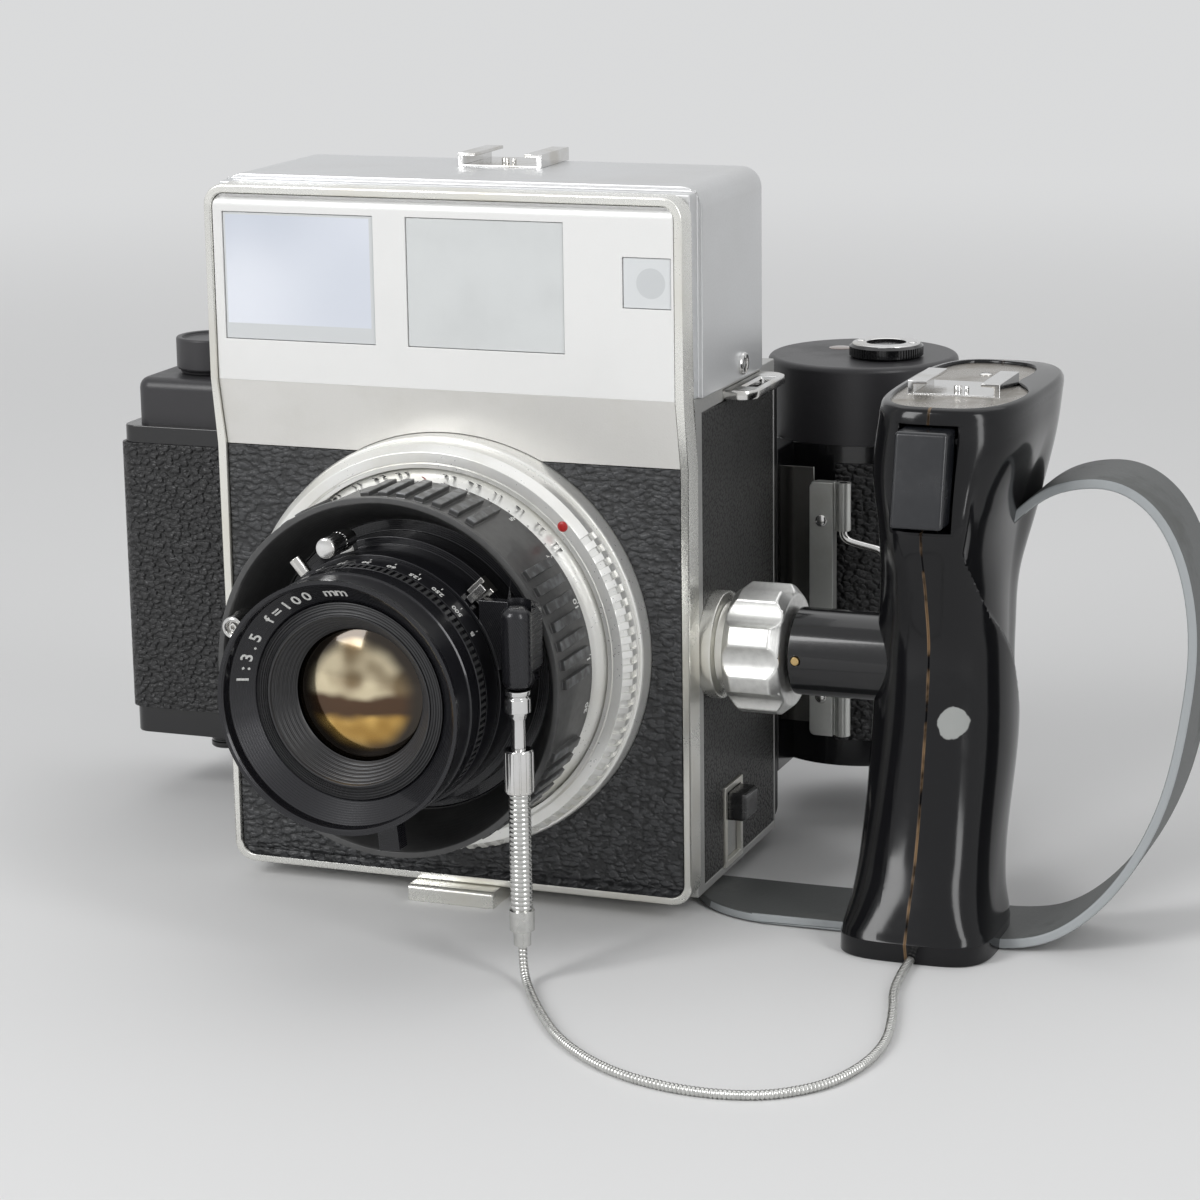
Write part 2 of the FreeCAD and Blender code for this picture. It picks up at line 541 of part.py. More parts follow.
def edge_along(direction, test=lambda centre: True):
    """Test for straight edges in one direction, and for where their middles lie."""
    def chosen(edge):
        first, last = edge.Vertexes[0].Point, edge.Vertexes[-1].Point
        run = last - first
        straight = run.Length > 1e-6 and abs(run.normalize().dot(direction)) > 0.999
        return straight and test((first + last) * 0.5)
    return chosen


def plane_of(body, role):
    return [feature for feature in body.Origin.OriginFeatures if feature.Role == role][0]


def outline(body, role, points):
    """Closed sketch whose corners are bound to pairs of expressions."""
    sketch = body.newObject("Sketcher::SketchObject", "Outline")
    sketch.AttachmentSupport = [(plane_of(body, role), "")]
    sketch.MapMode = "FlatFace"
    count = len(points)
    turns = [2 * math.pi * index / count for index in range(count)]
    start = [Vector(math.cos(turn), math.sin(turn), 0) for turn in turns]
    for index in range(count):
        sketch.addGeometry(Part.LineSegment(start[index], start[(index + 1) % count]), False)
    for index in range(count):
        sketch.addConstraint(Sketcher.Constraint("Coincident", index, 2, (index + 1) % count, 1))
    for index, corner in enumerate(points):
        for axis, value in zip("XY", corner):
            made = sketch.addConstraint(Sketcher.Constraint(f"Distance{axis}", -1, 1, index, 1, 1.0))
            sketch.setExpression(f"Constraints[{made}]", bound(value))
    return sketch


def turned(profile):
    """Ring about the lens axis: corners are (forward of the front plane, radius)."""
    body = doc.addObject("PartDesign::Body", "Ring")
    sketch = outline(body, "YZ_Plane", [(f"-({forward})", radius) for forward, radius in profile])
    feature = body.newObject("PartDesign::Revolution", "Turned")
    feature.Profile = sketch
    feature.ReferenceAxis = (sketch, ["H_Axis"])
    feature.Angle = 360
    return placed(body, ("0", "-body_front", LENS_Z))


def extruded(role, points, length, middle="0"):
    """Pad of a closed outline on an origin plane, equally far to both sides of its middle."""
    body = doc.addObject("PartDesign::Body", "Block")
    sketch = outline(body, role, points)
    feature = body.newObject("PartDesign::Pad", "Pad")
    feature.Profile = sketch
    feature.Midplane = True
    feature.setExpression("Length", bound(length))
    return placed(body, (middle, "0", "0"))


# ---------------------------------------------------------------- shared places
LENS_Z = "(foot_height + lens_rise)"
TRIM_BACK = "(trim_depth - body_front)"
SHELL_BACK = f"({TRIM_BACK} + shell_depth)"
SHOULDER = "(foot_height + shell_height)"
FINDER_FOOT = "(foot_height + kink_high)"
TRIM_TOP = "(foot_height + trim_height)"
FINDER_FRONT = "(-body_front - front_step)"
COVER_FRONT = f"({FINDER_FRONT} + recess)"
COVER_BACK = f"({COVER_FRONT} + cover_thick)"
PANEL_FRONT = "(-body_front + recess)"
PANEL_BACK = f"({PANEL_FRONT} + panel_skin)"
HOUSING_FRONT = "(housing_gap - body_front)"
HOUSING_BACK = f"({HOUSING_FRONT} + housing_depth)"
HOUSING_TOP = f"({SHOULDER} + housing_height)"
WINDOW_LOW = f"({FINDER_FOOT} + window_low)"
GRIP_Z = "(foot_height + grip_rise)"
HOLDER_FRONT = f"({SHELL_BACK} + standard_depth)"
HOLDER_BACK = f"({HOLDER_FRONT} + holder_depth)"
SLIDE_Y = f"({HOLDER_FRONT} + slide_front + slide_gap)"
X, Y, Z = Vector(1, 0, 0), Vector(0, 1, 0), Vector(0, 0, 1)


# ---------------------------------------------------------------- body
def body_shell():
    """Cast body: open at the back, bored for the mount, recessed for the side leather."""
    half = "shell_width / 2"
    outer = box((f"-{half}", half), (TRIM_BACK, SHELL_BACK), ("foot_height", SHOULDER))
    boss = box(("-panel_half", "panel_half"), (PANEL_BACK, TRIM_BACK),
               ("foot_height + trim_wall + panel_gap", "foot_height + kink_low - panel_gap"))
    room = box((f"-{half} + shell_wall", f"{half} - shell_wall"),
               (f"{TRIM_BACK} + shell_wall", f"{SHELL_BACK} + 1"),
               ("foot_height + shell_wall", f"{SHOULDER} - shell_wall"))
    mouth = cylinder("mount_bore", "trim_depth + 2 * shell_wall", ("0", f"{PANEL_BACK} - 1", LENS_Z), "Y")
    return cut(fuse(outer, boss), room, mouth, *(side_sheet(side, "skin + 1") for side in (-1, 1)))


def side_sheet(side, thickness="skin"):
    """Leather on one side of the body; side is -1 at the left and 1 at the right."""
    inner = "shell_width / 2 - skin"
    span = (inner, f"{inner} + {thickness}") if side > 0 else (f"-({inner}) - ({thickness})", f"-({inner})")
    return box(span, (f"{TRIM_BACK} + rim_depth", f"{SHELL_BACK} - cover_back"),
               ("foot_height + cover_low", f"{SHOULDER} - cover_top"))


def side_pockets():
    """Rooms in the right side for the grip's round plate and for the bezel of the lock slide."""
    inner = "shell_width / 2 - skin"
    plate_room = cylinder("socket_plate_radius + play", "2 * skin", (inner, "-grip_forward", GRIP_Z), "X")
    bezel_room = box((inner, f"{inner} + 2 * skin"),
                     ("bezel_y - bezel_width / 2 - play", "bezel_y + bezel_width / 2 + play"),
                     ("bezel_low - play", "bezel_high + play"))
    return plate_room, bezel_room


def front_trim():
    """Bright frame round the front, with the lean-out below the finder windows."""
    front = [("-body_front", "foot_height"), ("-body_front", "foot_height + kink_low"),
             (FINDER_FRONT, FINDER_FOOT), (FINDER_FRONT, TRIM_TOP)]
    back = [(f"{y} + trim_depth", z) for y, z in reversed(front)]
    band = extruded("YZ_Plane", front + back, "trim_width + 2")
    reach = (f"{FINDER_FRONT} - 1", f"{TRIM_BACK} + 1")
    outer = rounded(box(("-trim_width / 2", "trim_width / 2"), reach, ("foot_height", TRIM_TOP)),
                    size("trim_corner"), edge_along(Y))
    inside = "(trim_width / 2 - trim_wall)"
    inner = box((f"-{inside}", inside), (f"{reach[0]} - 1", f"{reach[1]} + 1"),
                ("foot_height + trim_wall", f"{TRIM_TOP} - trim_wall"))
    return cut(common(band, outer), inner)


def front_cover():
    """Finder front with three window openings."""
    plate = box(("-panel_half", "panel_half"), (COVER_FRONT, COVER_BACK),
                (FINDER_FOOT, f"{TRIM_TOP} - trim_wall - panel_gap"))
    return cut(plate, *(window(which, "0") for which in WINDOWS))


WINDOWS = {
    "frame_window": ("-frame_window_x", "frame_window_width", WINDOW_LOW, "window_height"),
    "finder_window": ("finder_window_x", "finder_window_width", WINDOW_LOW, "window_height"),
    "range_window": ("range_window_x", "range_window",
                     f"{FINDER_FOOT} + range_window_rise - range_window / 2", "range_window"),
}


def window(which, gap):
    """Block that fills one window opening, less a gap all round."""
    centre, width, low, height = WINDOWS[which]
    if gap == "0":
        depth = (f"{COVER_FRONT} - 1", f"{COVER_BACK} + 1")
    else:
        depth = (f"{COVER_FRONT} + recess", f"{COVER_FRONT} + recess + glass")
    return box((f"{centre} - ({width}) / 2 + {gap}", f"{centre} + ({width}) / 2 - {gap}"), depth,
               (f"{low} + {gap}", f"{low} + {height} - {gap}"))


def name_band():
    """Sloping brushed plate between the leather and the finder front."""
    thick = "cover_thick - recess"
    points = [(f"{PANEL_FRONT}", "foot_height + kink_low"), (COVER_FRONT, FINDER_FOOT),
              (f"{COVER_FRONT} + {thick}", FINDER_FOOT), (f"{PANEL_FRONT} + {thick}", "foot_height + kink_low")]
    band = extruded("YZ_Plane", points, "2 * panel_half")
    return cut(band, flange_room())


def front_leather():
    panel = box(("-panel_half", "panel_half"), (PANEL_FRONT, PANEL_BACK),
                ("foot_height + trim_wall + panel_gap", "foot_height + kink_low - panel_gap"))
    return cut(panel, flange_room())


def flange_room():
    """Round opening for the mount's flange in the leather and in the foot of the name band."""
    front = "-body_front - trim_depth"
    return cylinder("flange_radius + panel_gap", "2 * trim_depth", ("0", front, LENS_Z), "Y")


def finder_housing():
    """Sheet metal housing with rounded rear corners, a neck for the front cover and an eyepiece hole."""
    half = "housing_width / 2"
    roof = size("trim_height")
    rear_corners = edge_along(Z, lambda centre: centre.y > 0)
    rear_top = edge_along(X, lambda centre: centre.y > 0 and centre.z > roof)
    side_tops = edge_along(Y, lambda centre: centre.z > roof)
    main = rounded(box((f"-{half}", half), (HOUSING_FRONT, HOUSING_BACK), (SHOULDER, HOUSING_TOP)),
                   size("housing_corner"), lambda edge: rear_corners(edge) or rear_top(edge) or side_tops(edge))
    neck = box((f"-{half} + neck_inset", f"{half} - neck_inset"),
               (f"{FINDER_FRONT} + trim_depth + 2 * panel_gap", HOUSING_FRONT),
               (SHOULDER, f"{HOUSING_TOP} - neck_inset"))
    room = box((f"-{half} + neck_inset + housing_wall", f"{half} - neck_inset - housing_wall"),
               (f"{FINDER_FRONT} + trim_depth - 1", f"{HOUSING_BACK} - housing_wall"),
               (f"{SHOULDER} - 1", f"{HOUSING_TOP} - neck_inset - housing_wall"))
    sight = cylinder("eyepiece_bore + play", "3 * housing_wall",
                     ("finder_window_x", f"{HOUSING_BACK} - 2 * housing_wall", EYE_Z), "Y")
    return cut(fuse(main, neck), room, sight)


EYE_Z = f"({WINDOW_LOW} + window_height / 2)"


def eyepiece():
    """Rim and barrel of the viewfinder eyepiece."""
    def along_sight(radius, back, front):
        return cylinder(radius, f"({back}) - ({front})", ("finder_window_x", front, EYE_Z), "Y")
    inner_end = f"{HOUSING_BACK} - housing_wall - eyepiece_depth"
    rim = along_sight("eyepiece_radius", f"{HOUSING_BACK} + eyepiece_rim", HOUSING_BACK)
    barrel = along_sight("eyepiece_bore", HOUSING_BACK, inner_end)
    sight = along_sight("eyepiece_bore - eyepiece_wall", f"{HOUSING_BACK} + 2 * eyepiece_rim",
                        f"{HOUSING_BACK} - eyepiece_rim")
    return cut(fuse(rim, barrel), sight)


MIRROR = ("range_window_x + mirror_thick - mirror_width", "range_window_x + mirror_thick")
OPTICS_FRONT = f"({HOUSING_FRONT} + optics_back)"
MIRROR_FRONT = f"({HOUSING_FRONT} + mirror_back)"


def finder_posts():
    """Cast plate and posts on the shoulder that carry the finder's glass block and mirror."""
    half = "prism_size / 2"
    root = f"{SHOULDER} - shell_wall / 2"
    shelf = box(("-frame_window_x - prism_size", MIRROR[1]),
                (f"{OPTICS_FRONT} - shelf", f"{OPTICS_FRONT} + prism_size + shelf"),
                (root, f"{SHOULDER} + shelf"))
    post = box((f"finder_window_x - {half}", f"finder_window_x + {half}"),
               (OPTICS_FRONT, f"{OPTICS_FRONT} + prism_size"), (root, f"{EYE_Z} - {half}"))
    foot_front = f"{MIRROR_FRONT} - mirror_thick / 2"
    foot = box(MIRROR, (foot_front, f"{foot_front} + mirror_foot"), (root, f"{EYE_Z} - {half}"))
    return shelf, post, foot


def finder_prism():
    """Glass block that joins the two sight lines, and the mirror that folds the second one."""
    half = "prism_size / 2"
    tall = (f"{EYE_Z} - {half}", f"{EYE_Z} + {half}")
    block = box((f"finder_window_x - {half}", f"finder_window_x + {half}"),
                (OPTICS_FRONT, f"{OPTICS_FRONT} + prism_size"), tall)
    mirror = box(MIRROR, (MIRROR_FRONT, f"{MIRROR_FRONT} + mirror_thick"), tall)
    return group(block, mirror)


def accessory_shoe(centre, low, front):
    """Channel with two inward lips."""
    half = "shoe_width / 2"
    depth = (front, f"{front} + shoe_length")
    top = f"{low} + shoe_base + shoe_room"
    outer = box((f"{centre} - {half}", f"{centre} + {half}"), depth, (low, f"{top} + shoe_lip"))
    long = (f"{front} - 1", f"{front} + shoe_length + 1")
    slot = box((f"{centre} - shoe_slot / 2", f"{centre} + shoe_slot / 2"), long, (f"{low} + shoe_base", top))
    mouth = box((f"{centre} - shoe_mouth / 2", f"{centre} + shoe_mouth / 2"), long,
                (top, f"{top} + shoe_lip + 1"))
    return cut(outer, slot, mouth)


LUG_LOW = f"({SHOULDER} - lug_drop)"


def lug_span(side, inner, outer):
    """Span beside the body's side wall, mirrored for the left."""
    edge = "shell_width / 2"
    if side > 0:
        return (f"{edge} + ({inner})", f"{edge} + ({outer})")
    return (f"-{edge} - ({outer})", f"-{edge} - ({inner})")


def strap_lug(side):
    """Flat plate with a long slot that stands out from the shoulder."""
    depth = ("lug_y - lug_width / 2", "lug_y + lug_width / 2")
    outer_end = edge_along(Z, lambda centre: abs(centre.x) > size("shell_width") / 2 + size("lug_root"))
    plate = rounded(box(lug_span(side, "-lug_root", "lug_reach"), depth, (LUG_LOW, f"{LUG_LOW} + lug_thick")),
                    size("lug_corner"), outer_end)
    slot = box(lug_span(side, "lug_reach - lug_edge - lug_slot", "lug_reach - lug_edge"),
               ("lug_y - lug_slot_length / 2", "lug_y + lug_slot_length / 2"),
               (f"{LUG_LOW} - 1", f"{LUG_LOW} + lug_thick + 1"))
    return cut(plate, slot)


def lug_pocket(side):
    """Room in the body's wall for the root of a strap lug."""
    return box(lug_span(side, "-lug_root", "1"), ("lug_y - lug_width / 2", "lug_y + lug_width / 2"),
               (LUG_LOW, f"{LUG_LOW} + lug_thick"))


def base_foot():
    """Tripod foot under the body, with two threaded sockets."""
    foot = box(("-foot_width / 2", "foot_width / 2"), ("-foot_front", "foot_back"), ("0", "foot_height"))
    plate = rounded(foot, size("foot_round"), edge_along(X, lambda centre: centre.z > size("foot_round")))
    root = cylinder("socket_bore + socket_wall", "socket_depth - foot_height + 1", ("0", "0", "foot_height"))
    bore = cylinder("socket_bore", "socket_depth", ("0", "0", "0"))
    big = cylinder("big_socket_bore", "foot_height - big_socket_floor", ("0", "socket_spacing", "0"))
    return cut(fuse(plate, root), bore, big)


def mount_flange():
    return turned([("-recess - panel_skin", "mount_bore"), ("-recess - panel_skin", "flange_radius"),
                   ("flange_front", "flange_radius"), ("flange_front", "hub_radius"),
                   ("hub_front", "hub_radius"), ("hub_front", "mount_bore")])


def grip_socket():
    """Round plate and neck on the body's right side that take the grip."""
    start = "shell_width / 2"
    plate = along_grip("socket_plate_radius", f"{start} - skin", f"{start} + socket_plate")
    neck = along_grip("socket_neck_radius", f"{start} + socket_plate", f"{start} + socket_plate + socket_neck")
    core = along_grip("spigot_radius + fit", start, f"{start} + socket_plate + socket_neck + 2")
    return cut(fuse(plate, neck), core)


def along_grip(radius, inner, outer):
    """Round about the grip arm's axis between two places along it."""
    return cylinder(radius, f"({outer}) - ({inner})", (inner, "-grip_forward", GRIP_Z), "X")


def lock_bezel():
    """Bright frame of the lock slide."""
    half = "bezel_width / 2"
    side = ("shell_width / 2 - skin", "shell_width / 2 + bezel_rise")
    outer = box(side, (f"bezel_y - {half}", f"bezel_y + {half}"), ("bezel_low", "bezel_high"))
    inner = box(("shell_width / 2 - skin - 1", "shell_width / 2 + 1"),
                (f"bezel_y - {half} + bezel_frame", f"bezel_y + {half} - bezel_frame"),
                ("bezel_low + bezel_frame", "bezel_high - bezel_frame"))
    return cut(outer, inner)


def lock_button():
    """Black sliding button in the bezel, at the top of its travel."""
    half = "bezel_width / 2 - bezel_frame - play"
    top = "bezel_high - bezel_frame - play"
    return rounded(box(("shell_width / 2 - skin + play", "shell_width / 2 + button_reach"),
                       (f"bezel_y - ({half})", f"bezel_y + {half}"), (f"{top} - button_height", top)),
                   size("button_round"), edge_along(Y, lambda centre: centre.x > size("shell_width") / 2 + 1))


def back_standard():
    """Rear frame of the body that the film holder clamps to."""
    half = "standard_width / 2"
    deep = (SHELL_BACK, HOLDER_FRONT)
    outer = rounded(box((f"-{half}", half), deep, ("standard_low", "standard_high")),
                    size("standard_corner"), edge_along(Y))
    light = box(("-gate_width / 2 - gate_margin", "gate_width / 2 + gate_margin"),
                (f"{SHELL_BACK} - 1", f"{HOLDER_FRONT} + 1"),
                ("gate_low - gate_margin", "gate_high + gate_margin"))
    return cut(outer, light)


SOCKET_ROOM = cylinder("socket_bore + socket_wall + play", "socket_depth", ("0", "0", "foot_height - play"))
SHELL_ROOMS = (SOCKET_ROOM, lug_pocket(-1), lug_pocket(1), *side_pockets())
SHOE_FRONT = f"({HOUSING_FRONT} + shoe_y - shoe_length / 2)"
BODY = {
    "body_shell": fuse(cut(body_shell(), *SHELL_ROOMS), *finder_posts()),
    "front_trim": front_trim(),
    "front_cover": front_cover(),
    "name_band": name_band(),
    "front_leather": front_leather(),
    "side_leather": group(side_sheet(-1), cut(side_sheet(1), *side_pockets())),
    "finder_housing": finder_housing(),
    "eyepiece": eyepiece(),
    "finder_prism": finder_prism(),
    "base_foot": base_foot(),
    "mount_flange": mount_flange(),
    "grip_socket": grip_socket(),
    "lock_bezel": lock_bezel(),
    "lock_button": lock_button(),
    "back_standard": back_standard(),
    "strap_lugs": group(strap_lug(-1), strap_lug(1)),
    "body_shoe": accessory_shoe("0", HOUSING_TOP, SHOE_FRONT),
    **{which: window(which, "panel_gap") for which in WINDOWS},
}
for name, item in BODY.items():
    node(name, item)


# ---------------------------------------------------------------- lens
def lock_ring():
    """Breech ring that clamps the lens to the mount."""
    return turned([("flange_front + play", "hub_radius + fit"), ("flange_front + play", "lock_radius"),
                   ("lock_knurl", "lock_radius"), ("lock_front", "lock_bevel"),
                   ("lock_front", "hub_radius + fit")])


def depth_scale_ring():
    """Fixed rear of the lens: spigot in the mount, scale, and the sleeve that the focus ring turns on."""
    return turned([("mount_reach", "barrel_radius + fit"), ("mount_reach", "mount_bore - play"),
                   ("hub_front + play", "mount_bore - play"), ("hub_front + play", "scale_radius"),
                   ("scale_shoulder", "scale_radius"), ("scale_front", "scale_front_radius"),
                   ("scale_front", "sleeve_radius"), ("sleeve_front", "sleeve_radius"),
                   ("sleeve_front", "barrel_radius + fit")])


def focus_rib(angle):
    """One rib of the focus ring, at a plain angle round the lens axis."""
    rib = doc.addObject("Part::Box", "Rib")
    rib.setExpression("Length", bound("2 * focus_rib"))
    rib.setExpression("Width", bound("focus_front - rib_front - scale_front - rib_rear"))
    rib.setExpression("Height", bound("rib_width"))
    rib.Placement = Placement(Vector(), Rotation(Y, -angle))
    cosine, sine = math.cos(math.radians(angle)), math.sin(math.radians(angle))
    inner, half = "(focus_radius - focus_rib)", "(rib_width / 2)"
    return placed(rib, (f"{inner} * {cosine:.6f} + {half} * {sine:.6f}", "rib_front - body_front - focus_front",
                        f"{LENS_Z} + {inner} * {sine:.6f} - {half} * {cosine:.6f}"))


def focus_ring():
    """Focus ring with a deep dish at its front and ribs in groups round its rim."""
    ring = turned([("scale_front + play", "sleeve_radius + fit"), ("scale_front + play", "focus_radius"),
                   ("focus_front - focus_lip - lip_bevel", "focus_radius"),
                   ("focus_front - focus_lip", "focus_rim"),
                   ("focus_front", "focus_rim"), ("focus_front", "focus_rim - lip_edge"),
                   ("dish_floor", "dish_radius"),
                   ("sleeve_front + play", "dish_radius"), ("sleeve_front + play", "sleeve_radius + fit")])
    count = int(size("focus_ribs"))
    per_group = int(size("ribs_in_group"))
    step = int(size("rib_step"))
    ribs = [focus_rib(360.0 * index / count) for index in range(count) if index % step < per_group]
    return fuse(ring, *ribs)


def lens_barrel():
    """Sliding barrel and shutter case, with the cable socket beside it."""
    barrel = turned([("barrel_reach", "rear_bore"), ("barrel_reach", "barrel_radius"),
                     ("dish_floor - barrel_step", "barrel_radius"),
                     ("dish_floor - barrel_step", "shutter_rear"),
                     ("shutter_step", "shutter_rear"), ("shutter_step", "shutter_radius"),
                     ("shutter_front", "shutter_radius"), ("shutter_front", "spindle_radius"),
                     ("cell_seat", "spindle_radius"), ("cell_seat", "barrel_bore"),
                     ("blade_plane - rear_seat", "barrel_bore"), ("blade_plane - rear_seat", "rear_bore")])
    front = "-body_front - cable_forward"
    socket = cylinder("socket_radius", "socket_high - socket_low", ("cable_x", front, "socket_low"))
    tall = ("socket_low + socket_stem", "socket_high - socket_stem / 2")
    side = "socket_radius - barrel_step"
    back = "-body_front - focus_front - bridge_gap"
    bridge = box(("shutter_radius - bridge_root", f"cable_x + {side}"),
                 ("-body_front - shutter_front + play", back), tall)
    stem = box((f"cable_x - ({side})", f"cable_x + {side}"), (front, back), tall)
    return fuse(barrel, socket, bridge, stem)


def front_cell():
    """Screwed front cell: filter rim, sloping name ring, ribbed baffle and the seat of the front glass."""
    lip = "glass_edge - glass_lip"
    return turned([("cell_back", "glass_radius + play"), ("cell_back", "cell_thread"),
                   ("cell_seat + play", "cell_thread"), ("cell_seat + play", "spindle_radius + fit"),
                   ("aperture_front + play", "spindle_radius + fit"), ("aperture_front + play", "rim_radius"),
                   ("lens_front", "rim_radius"), ("lens_front", "filter_radius"),
                   ("lens_front - filter_depth", "filter_radius"), ("name_ring_back", "name_ring"),
                   ("baffle_front", "name_ring - lip_bevel"), ("baffle_front", "cell_bore"),
                   ("glass_edge", "baffle_radius"), (lip, "baffle_radius"), (lip, "glass_radius + play")])


def glass(back, side, dome_to):
    """Round glass whose one face bulges; dome_to is 1 towards the subject and -1 towards the film."""
    sphere = doc.addObject("Part::Sphere", "Dome")
    sphere.setExpression("Radius", bound("glass_curve"))
    sag = "sqrt(glass_curve * glass_curve - glass_radius * glass_radius)"
    middle = f"({side}) - {sag}" if dome_to > 0 else f"({back}) + {sag}"
    placed(sphere, ("0", f"-body_front - ({middle})", LENS_Z))
    bulge = "0.4 * glass_radius"
    disc = cylinder("glass_radius", f"({side}) - ({back}) + {bulge}",
                    ("0", f"-body_front - ({side}) - {bulge if dome_to > 0 else 0}", LENS_Z), "Y")
    return common(disc, sphere)


def speed_ring():
    """Shutter speed ring with its tab."""
    ring = turned([("shutter_front + play", "spindle_radius + fit"), ("shutter_front + play", "speed_radius"),
                   ("speed_front", "speed_radius"), ("speed_front", "spindle_radius + fit")])
    tab = box(("0", "tab_reach - speed_radius + ring_root"), ("-tab_width / 2", "tab_width / 2"),
              ("-tab_depth / 2", "tab_depth / 2"))
    middle = "(shutter_front + speed_front) / 2"
    return fuse(ring, about_lens(tab, "tab_angle", "speed_radius - ring_root", middle))


def aperture_ring():
    return turned([("speed_front + play", "spindle_radius + fit"), ("speed_front + play", "aperture_radius"),
                   ("aperture_front", "aperture_radius"), ("aperture_front", "spindle_radius + fit")])


def about_lens(item, angle, radius, forward):
    """Swing a block round the lens axis: its own +X points outwards from the axis."""
    swung = group(item)
    swung.Placement = Placement(Vector(), Rotation(Y, -size(angle)))
    return placed(swung, (f"({radius}) * cos({angle} * 1 deg)", f"-body_front - ({forward})",
                          f"{LENS_Z} + ({radius}) * sin({angle} * 1 deg)"))


def shutter_lever(angle, reach, back, front, width):
    """Flat radial lever beside the shutter case."""
    arm = box(("0", f"{reach} - shutter_radius - lever_gap"), (f"{back} - ({front})", "0"),
              (f"-({width}) / 2", f"({width}) / 2"))
    return about_lens(arm, angle, "shutter_radius + lever_gap", back)


def cocking_lever():
    arm = shutter_lever("cock_angle", "cock_radius", "cock_back", "cock_back + lever_thick", "1.6 * cock_knob")
    knob = cylinder("cock_knob", "cock_front - cock_back", ("0", "cock_back - cock_front", "0"), "Y")
    return fuse(arm, about_lens(knob, "cock_angle", "cock_radius", "cock_back"))


def release_lever():
    arm = shutter_lever("release_angle", "release_reach", "release_back", "release_back + lever_thick",
                        "release_width")
    tip = shutter_lever("release_angle", "release_reach", "release_back", "release_back + 2 * lever_thick",
                        "release_edge")
    return fuse(arm, tip)


def flash_selector():
    """Small pin that chooses the flash timing."""
    pin = cylinder("selector_pin", "selector_radius - shutter_radius - lever_gap", ("0", "0", "0"), "X")
    return about_lens(pin, "selector_angle", "shutter_radius + lever_gap", "selector_forward")


def sync_socket():
    """Flash socket on a short arm beside the shutter case."""
    centre = "sync_radius - shutter_radius"
    arm = box(("2 * lever_gap", centre), ("-sync_arm", "0"), ("-sync_size * 0.7", "sync_size * 0.7"))
    tube = cylinder("sync_size", "sync_length", (centre, "-sync_length", "0"), "Y")
    hole = cylinder("sync_size - sync_wall", "sync_length", (centre, "-sync_length - 2 * sync_wall", "0"), "Y")
    return about_lens(cut(fuse(arm, tube), hole), "sync_angle", "shutter_radius", "focus_front + bridge_gap")


def shutter_blades():
    """Aperture blades, closed to a small opening."""
    y = "-body_front - blade_plane"
    disc = cylinder("barrel_bore", "blade", ("0", y, LENS_Z), "Y")
    return cut(disc, cylinder("iris_hole", "3 * blade", ("0", f"{y} - blade", LENS_Z), "Y"))


def cable_stack(*steps):
    """Coaxial rounds on the cable's axis; each step is (radius, low, high)."""
    front = "-body_front - cable_forward"
    return [cylinder(radius, f"({high}) - ({low})", ("cable_x", front, low)) for radius, low, high in steps]


def release_fitting():
    """Threaded nipple, its collar and the knurled nut of the cable release."""
    return fuse(*cable_stack(("collar_radius", "collar_low", "socket_low"),
                             ("nipple_radius", "nut_high", "collar_low"),
                             ("nut_radius", "nut_low", "nut_high")))


def cable_sleeve():
    """Stiff coil sleeve with a stepped ferrule at its lower end."""
    return fuse(*cable_stack(("coil_radius", "coil_low", "nut_low"),
                             ("ferrule_radius", "ferrule_step", "coil_low"),
                             ("ferrule_tip", "ferrule_low", "ferrule_step")))


# The free cable leaves the ferrule, lies on the table in a wide loop and ends in the grip's notch.
CABLE_ROUTE = [(0.0, 0.0, 8.7), (0.0, 0.0, 5.2), (1.5, -2.6, 2.0), (5.1, -8.6, 1.1),
               (11.9, -20.0, 1.1), (22.1, -34.5, 1.1), (36.6, -46.8, 1.1), (51.6, -52.4, 1.1),
               (65.6, -52.6, 1.1), (76.0, -48.5, 1.1), (84.9, -37.8, 1.1), (88.5, -17.5, 1.1),
               (84.6, 3.0, 1.1), (79.2, 21.5, 1.1), (78.6, 40.0, 1.1)]


def release_cable():
    """Tube of straight runs joined by tangent arcs."""
    start = Vector(size("cable_x"), -size("body_front") - size("cable_forward"), 0)
    points = [start + Vector(*place) for place in CABLE_ROUTE]
    edges = []
    radii = []
    length = 0.0
    here = points[0]
    for before, corner, after in zip(points, points[1:], points[2:]):
        incoming, outgoing = corner - before, after - corner
        turn = incoming.getAngle(outgoing)
        reach = 0.45 * min(incoming.Length, outgoing.Length)
        radius = reach / math.tan(turn / 2)
        inward, outward = Vector(incoming).normalize(), Vector(outgoing).normalize()
        first, last = corner - inward * reach, corner + outward * reach
        towards = (outward - inward).normalize()
        middle = corner + towards * (radius / math.cos(turn / 2) - radius)
        edges.append(Part.LineSegment(here, first).toShape())
        edges.append(Part.Arc(first, middle, last).toShape())
        length += (first - here).Length + radius * turn
        radii.append(radius)
        here = last
    edges.append(Part.LineSegment(here, points[-1]).toShape())
    length += (points[-1] - here).Length
    bore = size("cable_radius")
    section = Part.Wire([Part.Circle(points[0], points[1] - points[0], bore).toShape()])
    tube = Part.Wire(edges).makePipeShell([section], True, False)
    wanted = math.pi * bore * bore * length
    print(f"release cable: {length:.1f} mm, arc radii", " ".join(f"{radius:.1f}" for radius in radii))
    print(f"release cable: volume {tube.Volume:.1f}, section times length {wanted:.1f}")
    assert abs(tube.Volume - wanted) < 0.01 * wanted
    item = doc.addObject("Part::Feature", "Cable")
    item.Shape = tube
    return item


